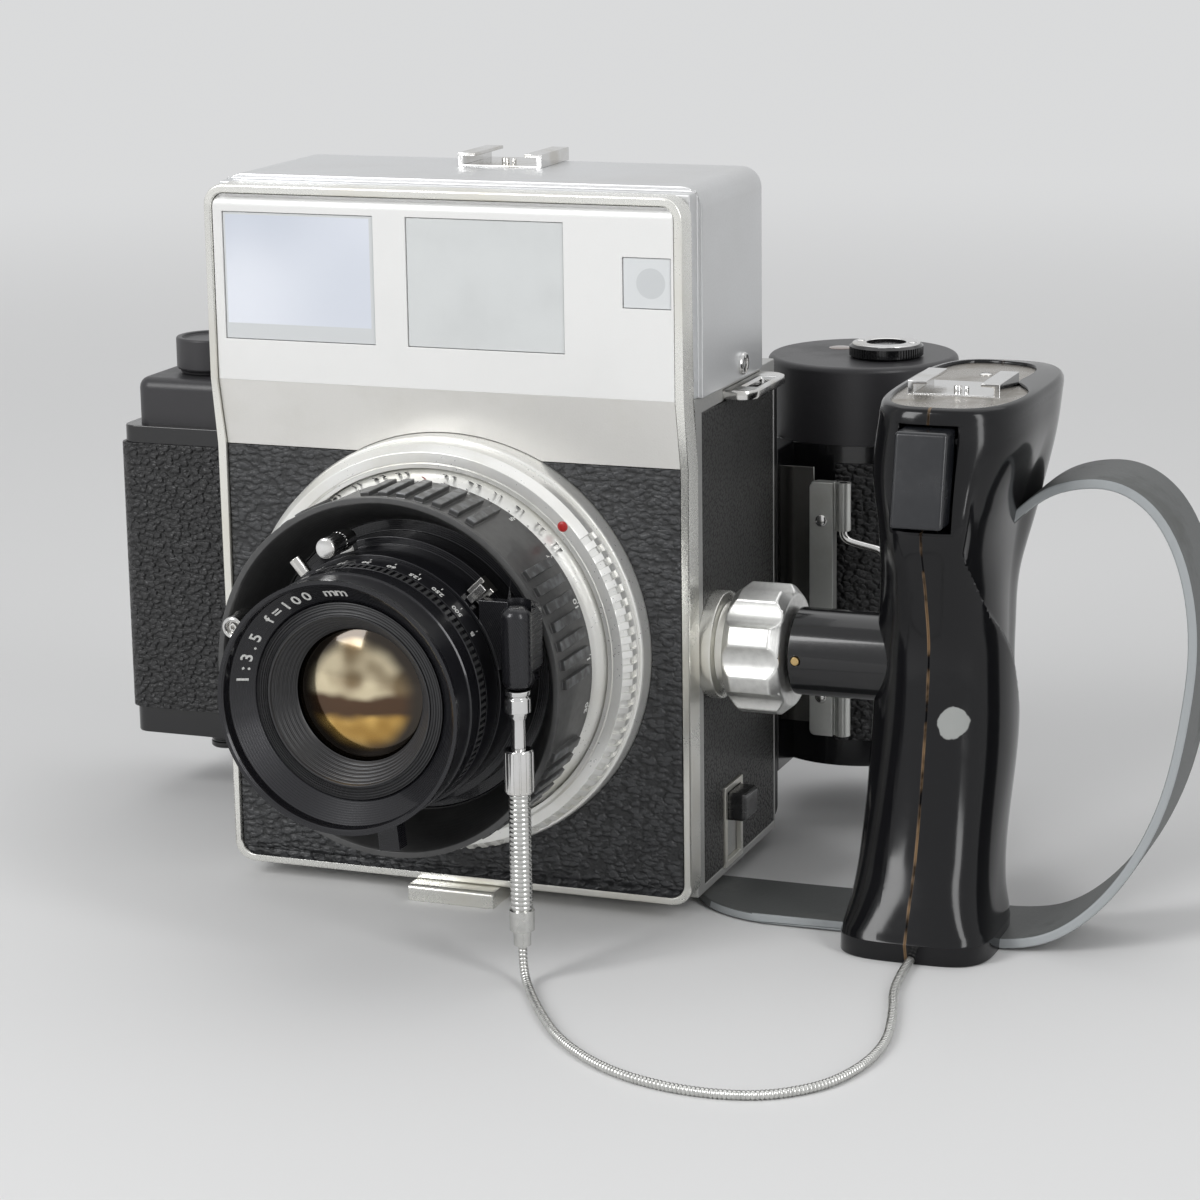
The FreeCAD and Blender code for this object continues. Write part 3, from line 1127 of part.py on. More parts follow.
LENS = {
    "lock_ring": lock_ring(),
    "depth_scale_ring": depth_scale_ring(),
    "focus_ring": focus_ring(),
    "lens_barrel": lens_barrel(),
    "front_cell": front_cell(),
    "front_glass": glass("glass_back", "glass_side", 1),
    "rear_glass": glass("barrel_reach + rear_glass_inset", "barrel_reach + rear_glass_inset + rear_glass", -1),
    "shutter_blades": shutter_blades(),
    "speed_ring": speed_ring(),
    "aperture_ring": aperture_ring(),
    "cocking_lever": cocking_lever(),
    "release_lever": release_lever(),
    "flash_selector": flash_selector(),
    "sync_socket": sync_socket(),
    "release_fitting": release_fitting(),
    "cable_sleeve": cable_sleeve(),
    "release_cable": release_cable(),
}
for name, item in LENS.items():
    node(name, item)


# ---------------------------------------------------------------- grip
KNOB_X = "(shell_width / 2 - skin + socket_plate + skin + socket_neck + play)"
ARM_X = f"({KNOB_X} + knob_width + arm_gap)"
SPIGOT_X = "(shell_width / 2 + 1)"


def grip_knob():
    """Lobed clamping knob that turns on the arm's spigot."""
    outer = f"{KNOB_X} + knob_width"
    knob = bevelled_rims(along_grip("knob_radius", KNOB_X, outer), size("knob_bevel"))
    count = int(size("lobes"))
    reach = "(knob_radius + flute_radius - flute_depth)"
    flutes = []
    for index in range(count):
        turn = 2 * math.pi * index / count
        flutes.append(cylinder("flute_radius", "knob_width + 2",
                               (f"{KNOB_X} - 1", f"-grip_forward + {reach} * {math.cos(turn):.6f}",
                                f"{GRIP_Z} + {reach} * {math.sin(turn):.6f}"), "X"))
    return cut(knob, *flutes, along_grip("spigot_radius + fit", f"{KNOB_X} - 1", f"{outer} + 1"))


def bevelled_rims(item, radius):
    """Chamfer of every circular edge."""
    doc.recompute()
    chamfer = doc.addObject("Part::Chamfer", "Bevelled")
    chamfer.Base = item
    edges = enumerate(item.Shape.Edges, start=1)
    chamfer.Edges = [(index, radius, radius) for index, edge in edges if isinstance(edge.Curve, Part.Circle)]
    return chamfer


def grip_arm():
    """Round arm from the grip, with the spigot that the knob turns on."""
    arm = along_grip("arm_radius", ARM_X, "grip_x - arm_inset")
    spigot = along_grip("spigot_radius", SPIGOT_X, f"{ARM_X} + 1")
    return cut(fuse(arm, spigot), stop_pin("arm_radius"))


def stop_pin(length):
    """Pin that stands in the front of the arm and ends a little outside it."""
    front = "-grip_forward - arm_radius - lever_gap"
    return cylinder("pin_radius", length, (f"{ARM_X} + stop_offset", front, GRIP_Z), "Y")


RING_COUNT = 32


def grip_ring(ring, inset):
    """Closed curve of one ring: a superellipse whose right and left halves differ in reach."""
    rise, front, deep, right, left, square = (size(f"{ring}_{word}") for word in
                                              ("rise", "front", "deep", "right", "left", "square"))
    lift = {GRIP_RINGS[0]: inset, GRIP_RINGS[-1]: -inset}.get(ring, 0.0)
    points = []
    for index in range(RING_COUNT):
        turn = 2 * math.pi * index / RING_COUNT
        across, back = math.sin(turn), math.cos(turn)
        reach = (right if across > 0 else left) - inset
        span = (abs(across / reach) ** square + abs(back / (deep - inset)) ** square) ** (-1 / square)
        points.append(Vector(size("grip_x") + span * across, deep - front + span * back, rise + lift))
    curve = Part.BSplineCurve()
    curve.interpolate(Points=points, PeriodicFlag=True)
    item = doc.addObject("Part::Feature", "Ring")
    item.Shape = Part.Wire(curve.toShape())
    return item


def grip_loft(inset):
    """Grip's outer form, or its hollow when inset by the wall."""
    loft = doc.addObject("Part::Loft", "Loft")
    loft.Sections = [grip_ring(ring, inset) for ring in GRIP_RINGS]
    loft.Solid = True
    loft.Ruled = True
    return loft


def trigger_pin(radius):
    """Round through the trigger's top and the walls beside it."""
    return cylinder(radius, "pin_length", ("grip_x - pin_length / 2", TRIGGER_Y, TRIGGER_Z), "X")


def grip_half(side):
    """One moulded half: side is -1 towards the camera and 1 away from it."""
    shell = cut(grip_loft(0.0), grip_loft(size("grip_wall")))
    beyond = "2 * brow_deep"
    if side > 0:
        across = ("grip_x + parting / 2", f"grip_x + {beyond}")
    else:
        across = (f"grip_x - {beyond}", "grip_x - parting / 2")
    half = common(shell, box(across, (f"-{beyond}", beyond), ("-1", "brow_rise + 1")))
    trigger_half = "(trigger_width / 2 + trigger_gap)"
    trigger_room = box((f"grip_x - {trigger_half}", f"grip_x + {trigger_half}"),
                       (f"-{beyond}", "trigger_depth + trigger_swing - trigger_front"),
                       ("trigger_low - trigger_drop", "trigger_high + trigger_gap"))
    strap_channel = box((f"grip_x - {beyond}", f"grip_x + {beyond}"),
                        ("-strap_front - strap_room", "strap_width - strap_front + strap_room"),
                        ("-1", "strap_low + strap_thick + strap_room"))
    strap_slot = box(("grip_x + slot_depth", f"grip_x + {beyond}"),
                     ("strap_drift * slot_low - strap_front - strap_room",
                      "strap_drift * slot_high - strap_front + strap_width + strap_room"),
                     ("slot_low", "slot_high"))
    notch = box(("cable_end_x - cable_notch", "cable_end_x + cable_notch"), (f"-{beyond}", "cable_end_y + 3"),
                ("-1", "2 * cable_radius + 1.2"))
    arm_hole = along_grip("arm_radius", ARM_X, f"{ARM_X} + grip_x")
    side_hole = strap_slot if side > 0 else arm_hole
    return cut(half, trigger_room, trigger_pin("pin_radius"), strap_channel, notch, side_hole)


TRIGGER_Z = "(trigger_high - pin_drop)"
TRIGGER_Y = "(pin_back - trigger_front)"


def trigger():
    """Front lever of the grip, hung on a cross pin at its top."""
    top_front, foot_front = "-trigger_front", "-trigger_front - trigger_lean"
    points = [(top_front, "trigger_high"), (foot_front, "trigger_low"),
              (f"{foot_front} + trigger_depth", "trigger_low"),
              (f"{top_front} + trigger_depth", "trigger_high")]
    return cut(extruded("YZ_Plane", points, "trigger_width", "grip_x"), trigger_pin("pin_radius + fit"))


def grip_plate():
    """Metal top plate of the grip with its accessory shoe."""
    plate = cylinder("plate_radius", "plate_thick", ("grip_x", "plate_back", "brow_rise"))
    shoe = accessory_shoe("grip_x", "(brow_rise + plate_thick)", "plate_back - shoe_length / 2")
    return fuse(plate, shoe)


# Middle line of the strap's front edge, as shares of its bow and its height, from the slot in the grip's
# flank round to the place where it passes under the foot.
STRAP_BOW = [(-0.084, 0.902), (0.0, 0.934), (0.125, 0.974), (0.315, 1.0), (0.507, 1.0), (0.707, 0.960),
             (0.858, 0.883), (0.962, 0.770), (1.0, 0.646), (0.981, 0.518), (0.904, 0.347), (0.767, 0.216),
             (0.541, 0.097), (0.300, 0.033)]


def strap_line():
    """Points of the strap's middle line, from its root to the tip of its tongue."""
    edge, floor, tail = size("strap_edge_x"), size("strap_floor"), size("strap_tail")
    bow = [(across * size("strap_bow"), rise * size("strap_peak")) for across, rise in STRAP_BOW]
    flat = [(tail * share, floor) for share in (0.03, -0.2, -0.6, -1.0)]
    return [Vector(edge + across, 0, rise) for across, rise in bow + flat]


def strap_band(line):
    """Flat band along the middle line, leaning back as it rises."""
    half = size("strap_thick") / 2
    spine = Part.BSplineCurve()
    spine.interpolate(line)
    first, last = spine.FirstParameter, spine.LastParameter
    count = 3 * len(line)
    outer, inner = [], []
    for index in range(count + 1):
        at = first + (last - first) * index / count
        tangent = spine.tangent(at)[0]
        normal = Vector(-tangent.z, 0, tangent.x).normalize()
        outer.append(spine.value(at) + normal * half)
        inner.append(spine.value(at) - normal * half)
    edges = []
    for face in (outer, inner):
        curve = Part.BSplineCurve()
        curve.interpolate(face)
        edges.append(curve.toShape())
    edges += [Part.LineSegment(outer[end], inner[end]).toShape() for end in (0, -1)]
    band = Part.Face(Part.Wire(Part.__sortEdges__(edges))).extrude(Vector(0, size("strap_width"), 0))
    band.translate(Vector(0, -size("strap_front"), 0))
    lean = Matrix()
    lean.A23 = size("strap_drift")
    return band.transformGeometry(lean)


def tongue_offcut(tip):
    """What is trimmed off the band's front corner to leave the slanted tongue."""
    front, width, over = -size("strap_front"), size("strap_width"), size("tongue_front")
    back = front + width - size("tongue_back")
    rim = [Vector(tip + size("tongue_slant"), front, -1), Vector(tip + size("tongue_nose"), front + over, -1),
           Vector(tip - size("strap_room"), back, -1)]
    outside = [rim[2], Vector(tip - over, back, -1), Vector(tip - over, front - over, -1),
               Vector(rim[0].x, front - over, -1), rim[0]]
    lines = [Part.LineSegment(first, last).toShape() for first, last in zip(outside, outside[1:])]
    wire = Part.Wire(Part.__sortEdges__([Part.Arc(*rim).toShape()] + lines))
    return Part.Face(wire).extrude(Vector(0, 0, 3 * size("strap_thick")))


def wrist_strap():
    """Bent band that starts in the grip's flank, passes under its foot and ends in a tongue."""
    line = strap_line()
    item = doc.addObject("Part::Feature", "Strap")
    item.Shape = strap_band(line).cut(tongue_offcut(line[-1].x))
    return item


GRIP = {
    "grip_knob": grip_knob(),
    "grip_arm": grip_arm(),
    "grip_left": grip_half(-1),
    "grip_right": grip_half(1),
    "trigger": trigger(),
    "grip_plate": grip_plate(),
    "grip_pins": group(trigger_pin("pin_radius"), stop_pin("arm_radius - 1")),
    "wrist_strap": wrist_strap(),
}
for name, item in GRIP.items():
    node(name, item)


# ---------------------------------------------------------------- roll-film holder
DOOR_FRONT = f"({HOLDER_BACK} - door_thick)"
HINGE = ("-chamber_left + hinge_radius", f"({HOLDER_BACK} - door_thick / 2)")
FLOOR = "(holder_low + holder_wall)"
CEILING = "(holder_high - holder_wall)"
SPOOL_TOP = f"({CEILING} - spool_gap)"
SPOOL_LOW = f"({SPOOL_TOP} - spool_length)"
SUPPLY = ("-supply_x", "supply_y")
TAKEUP = ("wind_x", "wind_y")


def holder_form(inset, low, high):
    """Outer form of the holder's case at some inset from its faces."""
    front_corners = edge_along(Z, lambda centre: centre.y < size("supply_y"))
    middle = box((f"-chamber_right - {inset}", f"neck_x - {inset}"), (f"{HOLDER_FRONT} + {inset}", DOOR_FRONT),
                 (low, high))
    supply = rounded(box((f"-chamber_left + {inset}", f"-chamber_right - {inset}"),
                         (f"chamber_front + {inset}", DOOR_FRONT), (low, high)),
                     size("chamber_corner"), front_corners)
    takeup = cylinder(f"takeup_radius - {inset}", f"({high}) - ({low})", ("takeup_x", "takeup_y", low))
    return fuse(middle, supply, takeup)


def holder_rooms():
    """Film chambers, the film's way past the gate, and the slot of the dark slide."""
    rear = f"{DOOR_FRONT} + 1"
    supply_room = box(("-chamber_left + holder_wall", "-chamber_right - holder_wall"),
                      ("chamber_front + holder_wall", rear), (FLOOR, CEILING))
    film_room = box(("-chamber_right - holder_wall - 1", "neck_x - neck_wall"),
                    (f"{HOLDER_FRONT} + gate_wall", rear), (FLOOR, CEILING))
    takeup_room = cylinder("takeup_radius - holder_wall", f"{CEILING} - {FLOOR}",
                           ("takeup_x", "takeup_y", FLOOR))
    slit = box(("roller_x", "neck_x - holder_wall"),
               (f"{DOOR_FRONT} - passage", f"{DOOR_FRONT} + takeup_radius / 6"),
               (f"{FLOOR} + passage_end", f"{CEILING} - passage_end"))
    gate = box(("-gate_width / 2", "gate_width / 2"),
               (f"{HOLDER_FRONT} - 1", f"{HOLDER_FRONT} + gate_wall + 1"), ("gate_low", "gate_high"))
    slot = box(("-slide_left - slide_gap", "neck_x + 1"),
               (f"{SLIDE_Y} - slide_gap", f"{SLIDE_Y} + slide_thick + slide_gap"),
               ("slide_low - slide_gap", "slide_high + slide_gap"))
    return supply_room, film_room, takeup_room, slit, gate, slot


def holder_shell():
    """Case with two film chambers, the picture gate, the dark slide's slot and the hinge's middle knuckle."""
    ends = ((SUPPLY, f"{CEILING} - 1"), (TAKEUP, f"{CEILING} - 1"), (SUPPLY, "holder_low - 1"))
    shafts = [cylinder("shaft_radius + fit", "2 * holder_wall + 2", (*at, low)) for at, low in ends]
    pivot = cylinder("shaft_radius", f"{SPOOL_LOW} + spool_seat - 1 - {FLOOR}", (*TAKEUP, FLOOR))
    knuckle = cylinder("hinge_radius", "hinge_third", (*HINGE, "holder_low + hinge_third"))
    hinge_room = cylinder("hinge_radius + door_margin", "holder_high", (*HINGE, "0"))
    pin = cylinder("hinge_pin", "holder_high - holder_low", (*HINGE, "holder_low"))
    web = box(("-chamber_left + lip_bevel", "-chamber_left + 2 * hinge_radius"),
              (f"{DOOR_FRONT} - 3 * hinge_radius", f"{DOOR_FRONT} - slide_gap"),
              ("holder_low + hinge_third", "holder_low + 2 * hinge_third"))
    body = cut(holder_form("0", "holder_low", "holder_high"), *holder_rooms(), *shafts, hinge_room)
    return fuse(body, pivot, knuckle, pin, web)


def holder_leather():
    """Leather band round the case, between its bare upper and lower bands."""
    low, high = "holder_low + holder_band", "holder_high - holder_ledge"
    skin = cut(holder_form("(-skin)", low, high), holder_form("0", f"{low} - 1", f"{high} + 1"))
    tall = ("0", "2 * holder_high")
    far = "4 * takeup_y"
    front = box(("-chamber_right + lip_bevel", far), ("0", f"{HOLDER_FRONT} + lip_bevel"), tall)
    back = box(("-chamber_left - holder_wall", "takeup_x - takeup_radius * 0.7"),
               (f"{DOOR_FRONT} - leather_gap", far), tall)
    side = box(("neck_x - holder_wall", "takeup_x"),
               (f"{HOLDER_FRONT} - holder_wall", f"{DOOR_FRONT} + 1"), tall)
    return cut(skin, front, back, side)


def supply_cap():
    """Raised cover over the supply chamber."""
    x_span = ("-chamber_left + cap_inset", "-chamber_right - cap_inset")
    y_span = ("chamber_front + cap_inset", f"{DOOR_FRONT} - cap_inset")
    cap = rounded(box(x_span, y_span, ("holder_high", "supply_cap_high")), size("chamber_corner"),
                  edge_along(Z))
    room = box((f"{x_span[0]} + holder_wall", f"{x_span[1]} - holder_wall"),
               (f"{y_span[0]} + holder_wall", f"{y_span[1]} - holder_wall"),
               ("holder_high - 1", "supply_cap_high - holder_wall"))
    return cut(cap, room, cylinder("shaft_radius + fit", "supply_cap_high", (*SUPPLY, "holder_high")))


def takeup_cap():
    """Drum over the take-up chamber, which holds the frame counter."""
    drum = cylinder("takeup_radius", "cap_high - holder_high", ("takeup_x", "takeup_y", "holder_high"))
    room = cylinder("takeup_radius - holder_wall", "cap_high - holder_high - holder_wall + 1",
                    ("takeup_x", "takeup_y", "holder_high - 1"))
    return cut(drum, room, cylinder("shaft_radius + fit", "cap_high", (*TAKEUP, "holder_high")))


def winding_knob(at, radius, low, high):
    """Knob on a shaft that reaches down to the top of its spool."""
    knob = cylinder(radius, f"({high}) - ({low}) - play", (*at, f"{low} + play"))
    shaft = cylinder("shaft_radius", f"{low} + 1 - {SPOOL_TOP}", (*at, SPOOL_TOP))
    return fuse(knob, shaft)


def film_spool(at):
    """Flanged spool with a blind hole in each end's middle."""
    core = cylinder("spool_core", "spool_length", (*at, SPOOL_LOW))
    lower = cylinder("spool_flange", "spool_end", (*at, SPOOL_LOW))
    upper = cylinder("spool_flange", "spool_end", (*at, f"{SPOOL_TOP} - spool_end"))
    hole = cylinder("shaft_radius + fit", "2 * spool_seat", (*at, f"{SPOOL_LOW} - 1"))
    return cut(fuse(core, lower, upper), hole)


def spool_pin():
    """Sprung knob under the case that frees the supply spool."""
    knob = cylinder("pull_knob_radius", "holder_low - play - pull_knob_low", (*SUPPLY, "pull_knob_low"))
    shaft = cylinder("shaft_radius", f"{SPOOL_LOW} + spool_seat - holder_low", (*SUPPLY, "holder_low - play"))
    return fuse(knob, shaft)


def film_roller(side):
    """Free roller beside the picture gate."""
    y = f"{HOLDER_FRONT} + gate_wall + roller_radius + play"
    return cylinder("roller_radius", f"{CEILING} - {FLOOR} - 2 * play",
                    (f"{side} * roller_x", y, f"{FLOOR} + play"))


CLAMP_X = "(slide_right - clamp_lap)"
CLAMP = ("(clamp_low - clamp_beyond)", "(clamp_high - clamp_beyond / 2)")
BAIL_X = f"({CLAMP_X} + clamp_width + knuckle_radius + lever_gap)"
BAIL_Y = f"({SLIDE_Y} + slide_thick / 2)"
KNUCKLES = (CLAMP[0], f"({CLAMP[1]} - knuckle_length)")


def rolled_end(low):
    """Rolled end of the clamp plate, in which one end of the wire handle turns."""
    roll = cylinder("knuckle_radius", "knuckle_length", (BAIL_X, BAIL_Y, low))
    web = box((f"{BAIL_X} - 1.8 * knuckle_radius", BAIL_X), (SLIDE_Y, f"{SLIDE_Y} + slide_thick"),
              (low, f"{low} + knuckle_length"))
    bore = cylinder("bail_wire + fit", "knuckle_length + 2", (BAIL_X, BAIL_Y, f"{low} - 1"))
    return cut(fuse(roll, web), bore)


def dark_slide():
    """Metal sheet across the gate, with the clamp and rolled ends of its handle."""
    sheet = box(("-slide_left", "slide_right"), (SLIDE_Y, f"{SLIDE_Y} + slide_thick"),
                ("slide_low", "slide_high"))
    clamp = box((CLAMP_X, f"{CLAMP_X} + clamp_width"),
                (f"{SLIDE_Y} - clamp_thick", f"{SLIDE_Y} + slide_thick + clamp_thick"), CLAMP)
    rolls = [rolled_end(low) for low in KNUCKLES]
    heads = [cylinder("screw_head", "screw_rise",
                      (f"{CLAMP_X} + clamp_width / 2", f"{SLIDE_Y} - clamp_thick - screw_rise", z), "Y")
             for z in ("clamp_high - knuckle_length", "clamp_low + clamp_beyond")]
    return fuse(sheet, clamp, *rolls, *heads)


def slide_bail():
    """Wire handle that swings in the rolled ends."""
    low = f"{KNUCKLES[0]} + knuckle_length + bail_gap"
    high = f"{KNUCKLES[1]} - bail_gap"
    pin_length = "knuckle_length + bail_gap + bail_wire"
    pins = [cylinder("bail_wire", pin_length, (BAIL_X, BAIL_Y, z))
            for z in (KNUCKLES[0], f"{high} - bail_wire")]
    outer = cylinder("bail_wire", f"({high}) - ({low}) - 2 * bail_drop",
                     (f"{BAIL_X} + bail_reach", BAIL_Y, f"{low} + bail_drop"))
    arms = [box((BAIL_X, f"{BAIL_X} + bail_reach"),
                (f"{BAIL_Y} - bail_wire * 0.8", f"{BAIL_Y} + bail_wire * 0.8"), (z, f"{z} + 1.6 * bail_wire"))
            for z in (f"{low} + bail_drop - 2 * bail_wire", f"{high} - bail_drop")]
    posts = [cylinder("bail_wire", "bail_drop + bail_wire", (BAIL_X, BAIL_Y, z))
             for z in (f"{low} - bail_gap", f"{high} - bail_drop")]
    return fuse(*pins, outer, *arms, *posts)


def back_door():
    """Door behind the film, with the two outer knuckles of its hinge."""
    plate = box(("-chamber_left + hinge_radius", "door_right"), (DOOR_FRONT, HOLDER_BACK),
                ("holder_low", "holder_high"))
    gap = cylinder("hinge_radius + door_margin", "hinge_third + 2 * slide_gap",
                   (*HINGE, "holder_low + hinge_third - slide_gap"))
    knuckles = [cylinder("hinge_radius", "hinge_third - slide_gap", (*HINGE, low))
                for low in ("holder_low", "holder_high - hinge_third + slide_gap")]
    bore = cylinder("hinge_pin + fit", "2 * holder_high", (*HINGE, "0"))
    return cut(fuse(cut(plate, gap), *knuckles), bore)


def pressure_plate():
    """Sprung plate on the door that holds the film flat in the gate."""
    half = "gate_width / 2 + pressure_margin"
    film = f"({HOLDER_FRONT} + gate_wall + film_gap)"
    plate = box((f"-({half})", half), (film, f"{film} + pressure_thick"),
                ("gate_low - pressure_margin", "gate_high + pressure_margin"))
    posts = [cylinder("post_radius", f"{DOOR_FRONT} - {film} - pressure_thick / 2",
                      (x, f"{film} + pressure_thick / 2", z), "Y")
             for x in ("-gate_width / 3", "gate_width / 3")
             for z in ("gate_low + pressure_margin", "gate_high - pressure_margin")]
    return fuse(plate, *posts)


HOLDER = {
    "holder_shell": holder_shell(),
    "holder_leather": holder_leather(),
    "supply_cap": supply_cap(),
    "takeup_cap": takeup_cap(),
    "supply_knob": winding_knob(SUPPLY, "supply_knob_radius", "supply_cap_high", "supply_knob_high"),
    "wind_knob": winding_knob(TAKEUP, "wind_radius", "cap_high", "wind_high"),
    "supply_spool": film_spool(SUPPLY),
    "takeup_spool": film_spool(TAKEUP),
    "spool_pin": spool_pin(),
    "film_roller_left": film_roller(-1),
    "film_roller_right": film_roller(1),
    "dark_slide": dark_slide(),
    "slide_bail": slide_bail(),
    "back_door": back_door(),
    "pressure_plate": pressure_plate(),
}
for name, item in HOLDER.items():
    node(name, item)


# ---------------------------------------------------------------- check and write
doc.recompute()
for item in doc.Objects:
    if "Invalid" in item.State or "Error" in item.State:
        raise RuntimeError(f"{item.Name} ({item.Label}) is {item.State}")
os.makedirs("parts", exist_ok=True)
for name, item in PIECES.items():
    shape = item.Shape
    if shape.isNull() or not shape.isValid() or not shape.Solids:
        raise RuntimeError(f"{name} has no valid solid")
    shape.exportStep(f"parts/{name}.step")
print(len(PIECES), "nodes")
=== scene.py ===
# %% [markdown]
# # Dressing a press camera
# The construction of the camera comes ready made: every piece at its real size, with its joints. This lesson
# gives it its looks. Each step first says what the piece is on the real camera and then why it is made this way.
# All lengths are metres here, so a small helper turns the millimetres of a workshop drawing into metres.

import json
import math

import bmesh
import bpy
from mathutils import Matrix, Vector


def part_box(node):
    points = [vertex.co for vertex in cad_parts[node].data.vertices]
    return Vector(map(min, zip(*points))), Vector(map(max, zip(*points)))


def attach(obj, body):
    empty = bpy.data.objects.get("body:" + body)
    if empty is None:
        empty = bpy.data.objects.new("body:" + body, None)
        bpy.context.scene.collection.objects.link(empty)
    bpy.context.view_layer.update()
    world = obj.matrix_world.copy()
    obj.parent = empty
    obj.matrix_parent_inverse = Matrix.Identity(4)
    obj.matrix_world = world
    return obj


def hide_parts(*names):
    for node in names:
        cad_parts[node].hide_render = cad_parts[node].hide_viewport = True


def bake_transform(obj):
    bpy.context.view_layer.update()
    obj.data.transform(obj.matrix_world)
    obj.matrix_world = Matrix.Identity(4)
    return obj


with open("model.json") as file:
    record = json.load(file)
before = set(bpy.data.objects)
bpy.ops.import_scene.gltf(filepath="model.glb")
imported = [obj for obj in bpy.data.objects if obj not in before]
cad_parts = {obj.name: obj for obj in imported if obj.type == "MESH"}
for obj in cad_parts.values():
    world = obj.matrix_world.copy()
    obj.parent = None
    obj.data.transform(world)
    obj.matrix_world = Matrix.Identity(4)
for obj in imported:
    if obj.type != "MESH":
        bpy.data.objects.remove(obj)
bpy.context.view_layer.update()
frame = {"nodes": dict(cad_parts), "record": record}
NODES = frame["nodes"]
MM = 0.001
X, Y, Z = Vector((1, 0, 0)), Vector((0, 1, 0)), Vector((0, 0, 1))

# %% [markdown]
# ## The camera's place
# The viewer stands in front of the camera, a little to the side where the grip is, and looks slightly down. A long
# lens from three quarters of a metre keeps the body's edges nearly parallel. The three axes of the view are worked
# out from the two angles and a small roll, and become the columns of the viewpoint's matrix.

# %% Viewpoint
SIDE_ANGLE, DOWN_ANGLE, ROLL = (math.radians(degrees) for degrees in (20.85, 13.51, -0.822))
EYE = Vector((311.4, -743.6, 261.3)) * MM
FOCAL_LENGTH, FILM_WIDTH = 102.98, 36

back = Vector((math.sin(SIDE_ANGLE) * math.cos(DOWN_ANGLE), -math.cos(SIDE_ANGLE) * math.cos(DOWN_ANGLE),
               math.sin(DOWN_ANGLE)))
level_right = Vector((math.cos(SIDE_ANGLE), math.sin(SIDE_ANGLE), 0))
level_up = back.cross(level_right)
right = level_right * math.cos(ROLL) + level_up * math.sin(ROLL)
up = level_up * math.cos(ROLL) - level_right * math.sin(ROLL)
viewpoint = bpy.data.objects.new("viewpoint", bpy.data.cameras.new("viewpoint"))
viewpoint.data.sensor_width, viewpoint.data.lens = FILM_WIDTH, FOCAL_LENGTH
viewpoint.matrix_world = Matrix.Translation(EYE) @ Matrix((right, up, back)).transposed().to_4x4()
bpy.context.scene.collection.objects.link(viewpoint)
bpy.context.scene.camera = viewpoint
print(f"viewpoint: {EYE.length:.2f} m from the origin")

# %% [markdown]
# ## Floor and light
# A plain pale floor runs up into a backdrop. Three large soft lamps light the camera evenly, so that the black parts
# still show their edges as long soft reflections and the silver parts don't burn out.

# %% Floor
def link(name, mesh):
    """New object at the origin that shows a mesh."""
    thing = bpy.data.objects.new(name, mesh)
    bpy.context.scene.collection.objects.link(thing)
    return thing


def new_verts(result):
    """Vertices among what an extrusion made."""
    return [item for item in result["geom"] if isinstance(item, bmesh.types.BMVert)]


def round_off(form, geom, width, segments, affect="EDGES"):
    """Bevel with a round profile; its width is in millimetres."""
    bmesh.ops.bevel(form, geom=geom, offset=width * MM, segments=segments, profile=0.5, affect=affect, material=-1)


FLOOR_REACH, BACKDROP_CURVE = 3.0, 1.2
form = bmesh.new()
bmesh.ops.create_grid(form, x_segments=1, y_segments=1, size=FLOOR_REACH)
far_edge = [edge for edge in form.edges if all(vert.co.y > 0 for vert in edge.verts)]
bmesh.ops.translate(form, vec=Z * FLOOR_REACH, verts=new_verts(bmesh.ops.extrude_edge_only(form, edges=far_edge)))
corner = [edge for edge in form.edges if all(vert.co.y > 0 and abs(vert.co.z) < 1e-6 for vert in edge.verts)]
round_off(form, corner, BACKDROP_CURVE / MM, 16)
floor_mesh = bpy.data.meshes.new("floor")
form.to_mesh(floor_mesh)
form.free()
floor_mesh.shade_smooth()
link("floor", floor_mesh)
print("floor:", len(floor_mesh.polygons), "faces")

# %% Lamps
LIT_SPOT = Vector((0.03, 0, 0.08))


def soft_lamp(name, place, width, height, watts):
    """Rectangular lamp that faces the middle of the camera."""
    lamp = bpy.data.lights.new(name, "AREA")
    lamp.shape = "RECTANGLE"
    lamp.size, lamp.size_y, lamp.energy = width, height, watts
    holder = bpy.data.objects.new(name, lamp)
    place = Vector(place)
    holder.matrix_world = Matrix.Translation(place) @ (place - LIT_SPOT).to_track_quat("Z", "Y").to_matrix().to_4x4()
    bpy.context.scene.collection.objects.link(holder)


soft_lamp("key_lamp", (-0.75, -1.25, 1.0), 0.6, 1.0, 15.5)
soft_lamp("side_lamp", (1.25, -0.75, 0.75), 0.35, 1.1, 7.5)
soft_lamp("top_lamp", (0.1, 0.6, 1.6), 2.2, 1.6, 8)
bpy.context.scene.view_settings.view_transform = "Standard"
print("lamps:", len(bpy.data.lights))

# %% [markdown]
# ## Shader maths as plain expressions
# A finish is a sum of small effects: a grain, some wear, a change of gloss. Wiring that up by hand is slow to read,
# so one small class wraps a socket and gives it the usual operators. `1 - mask` then adds its own Math node.

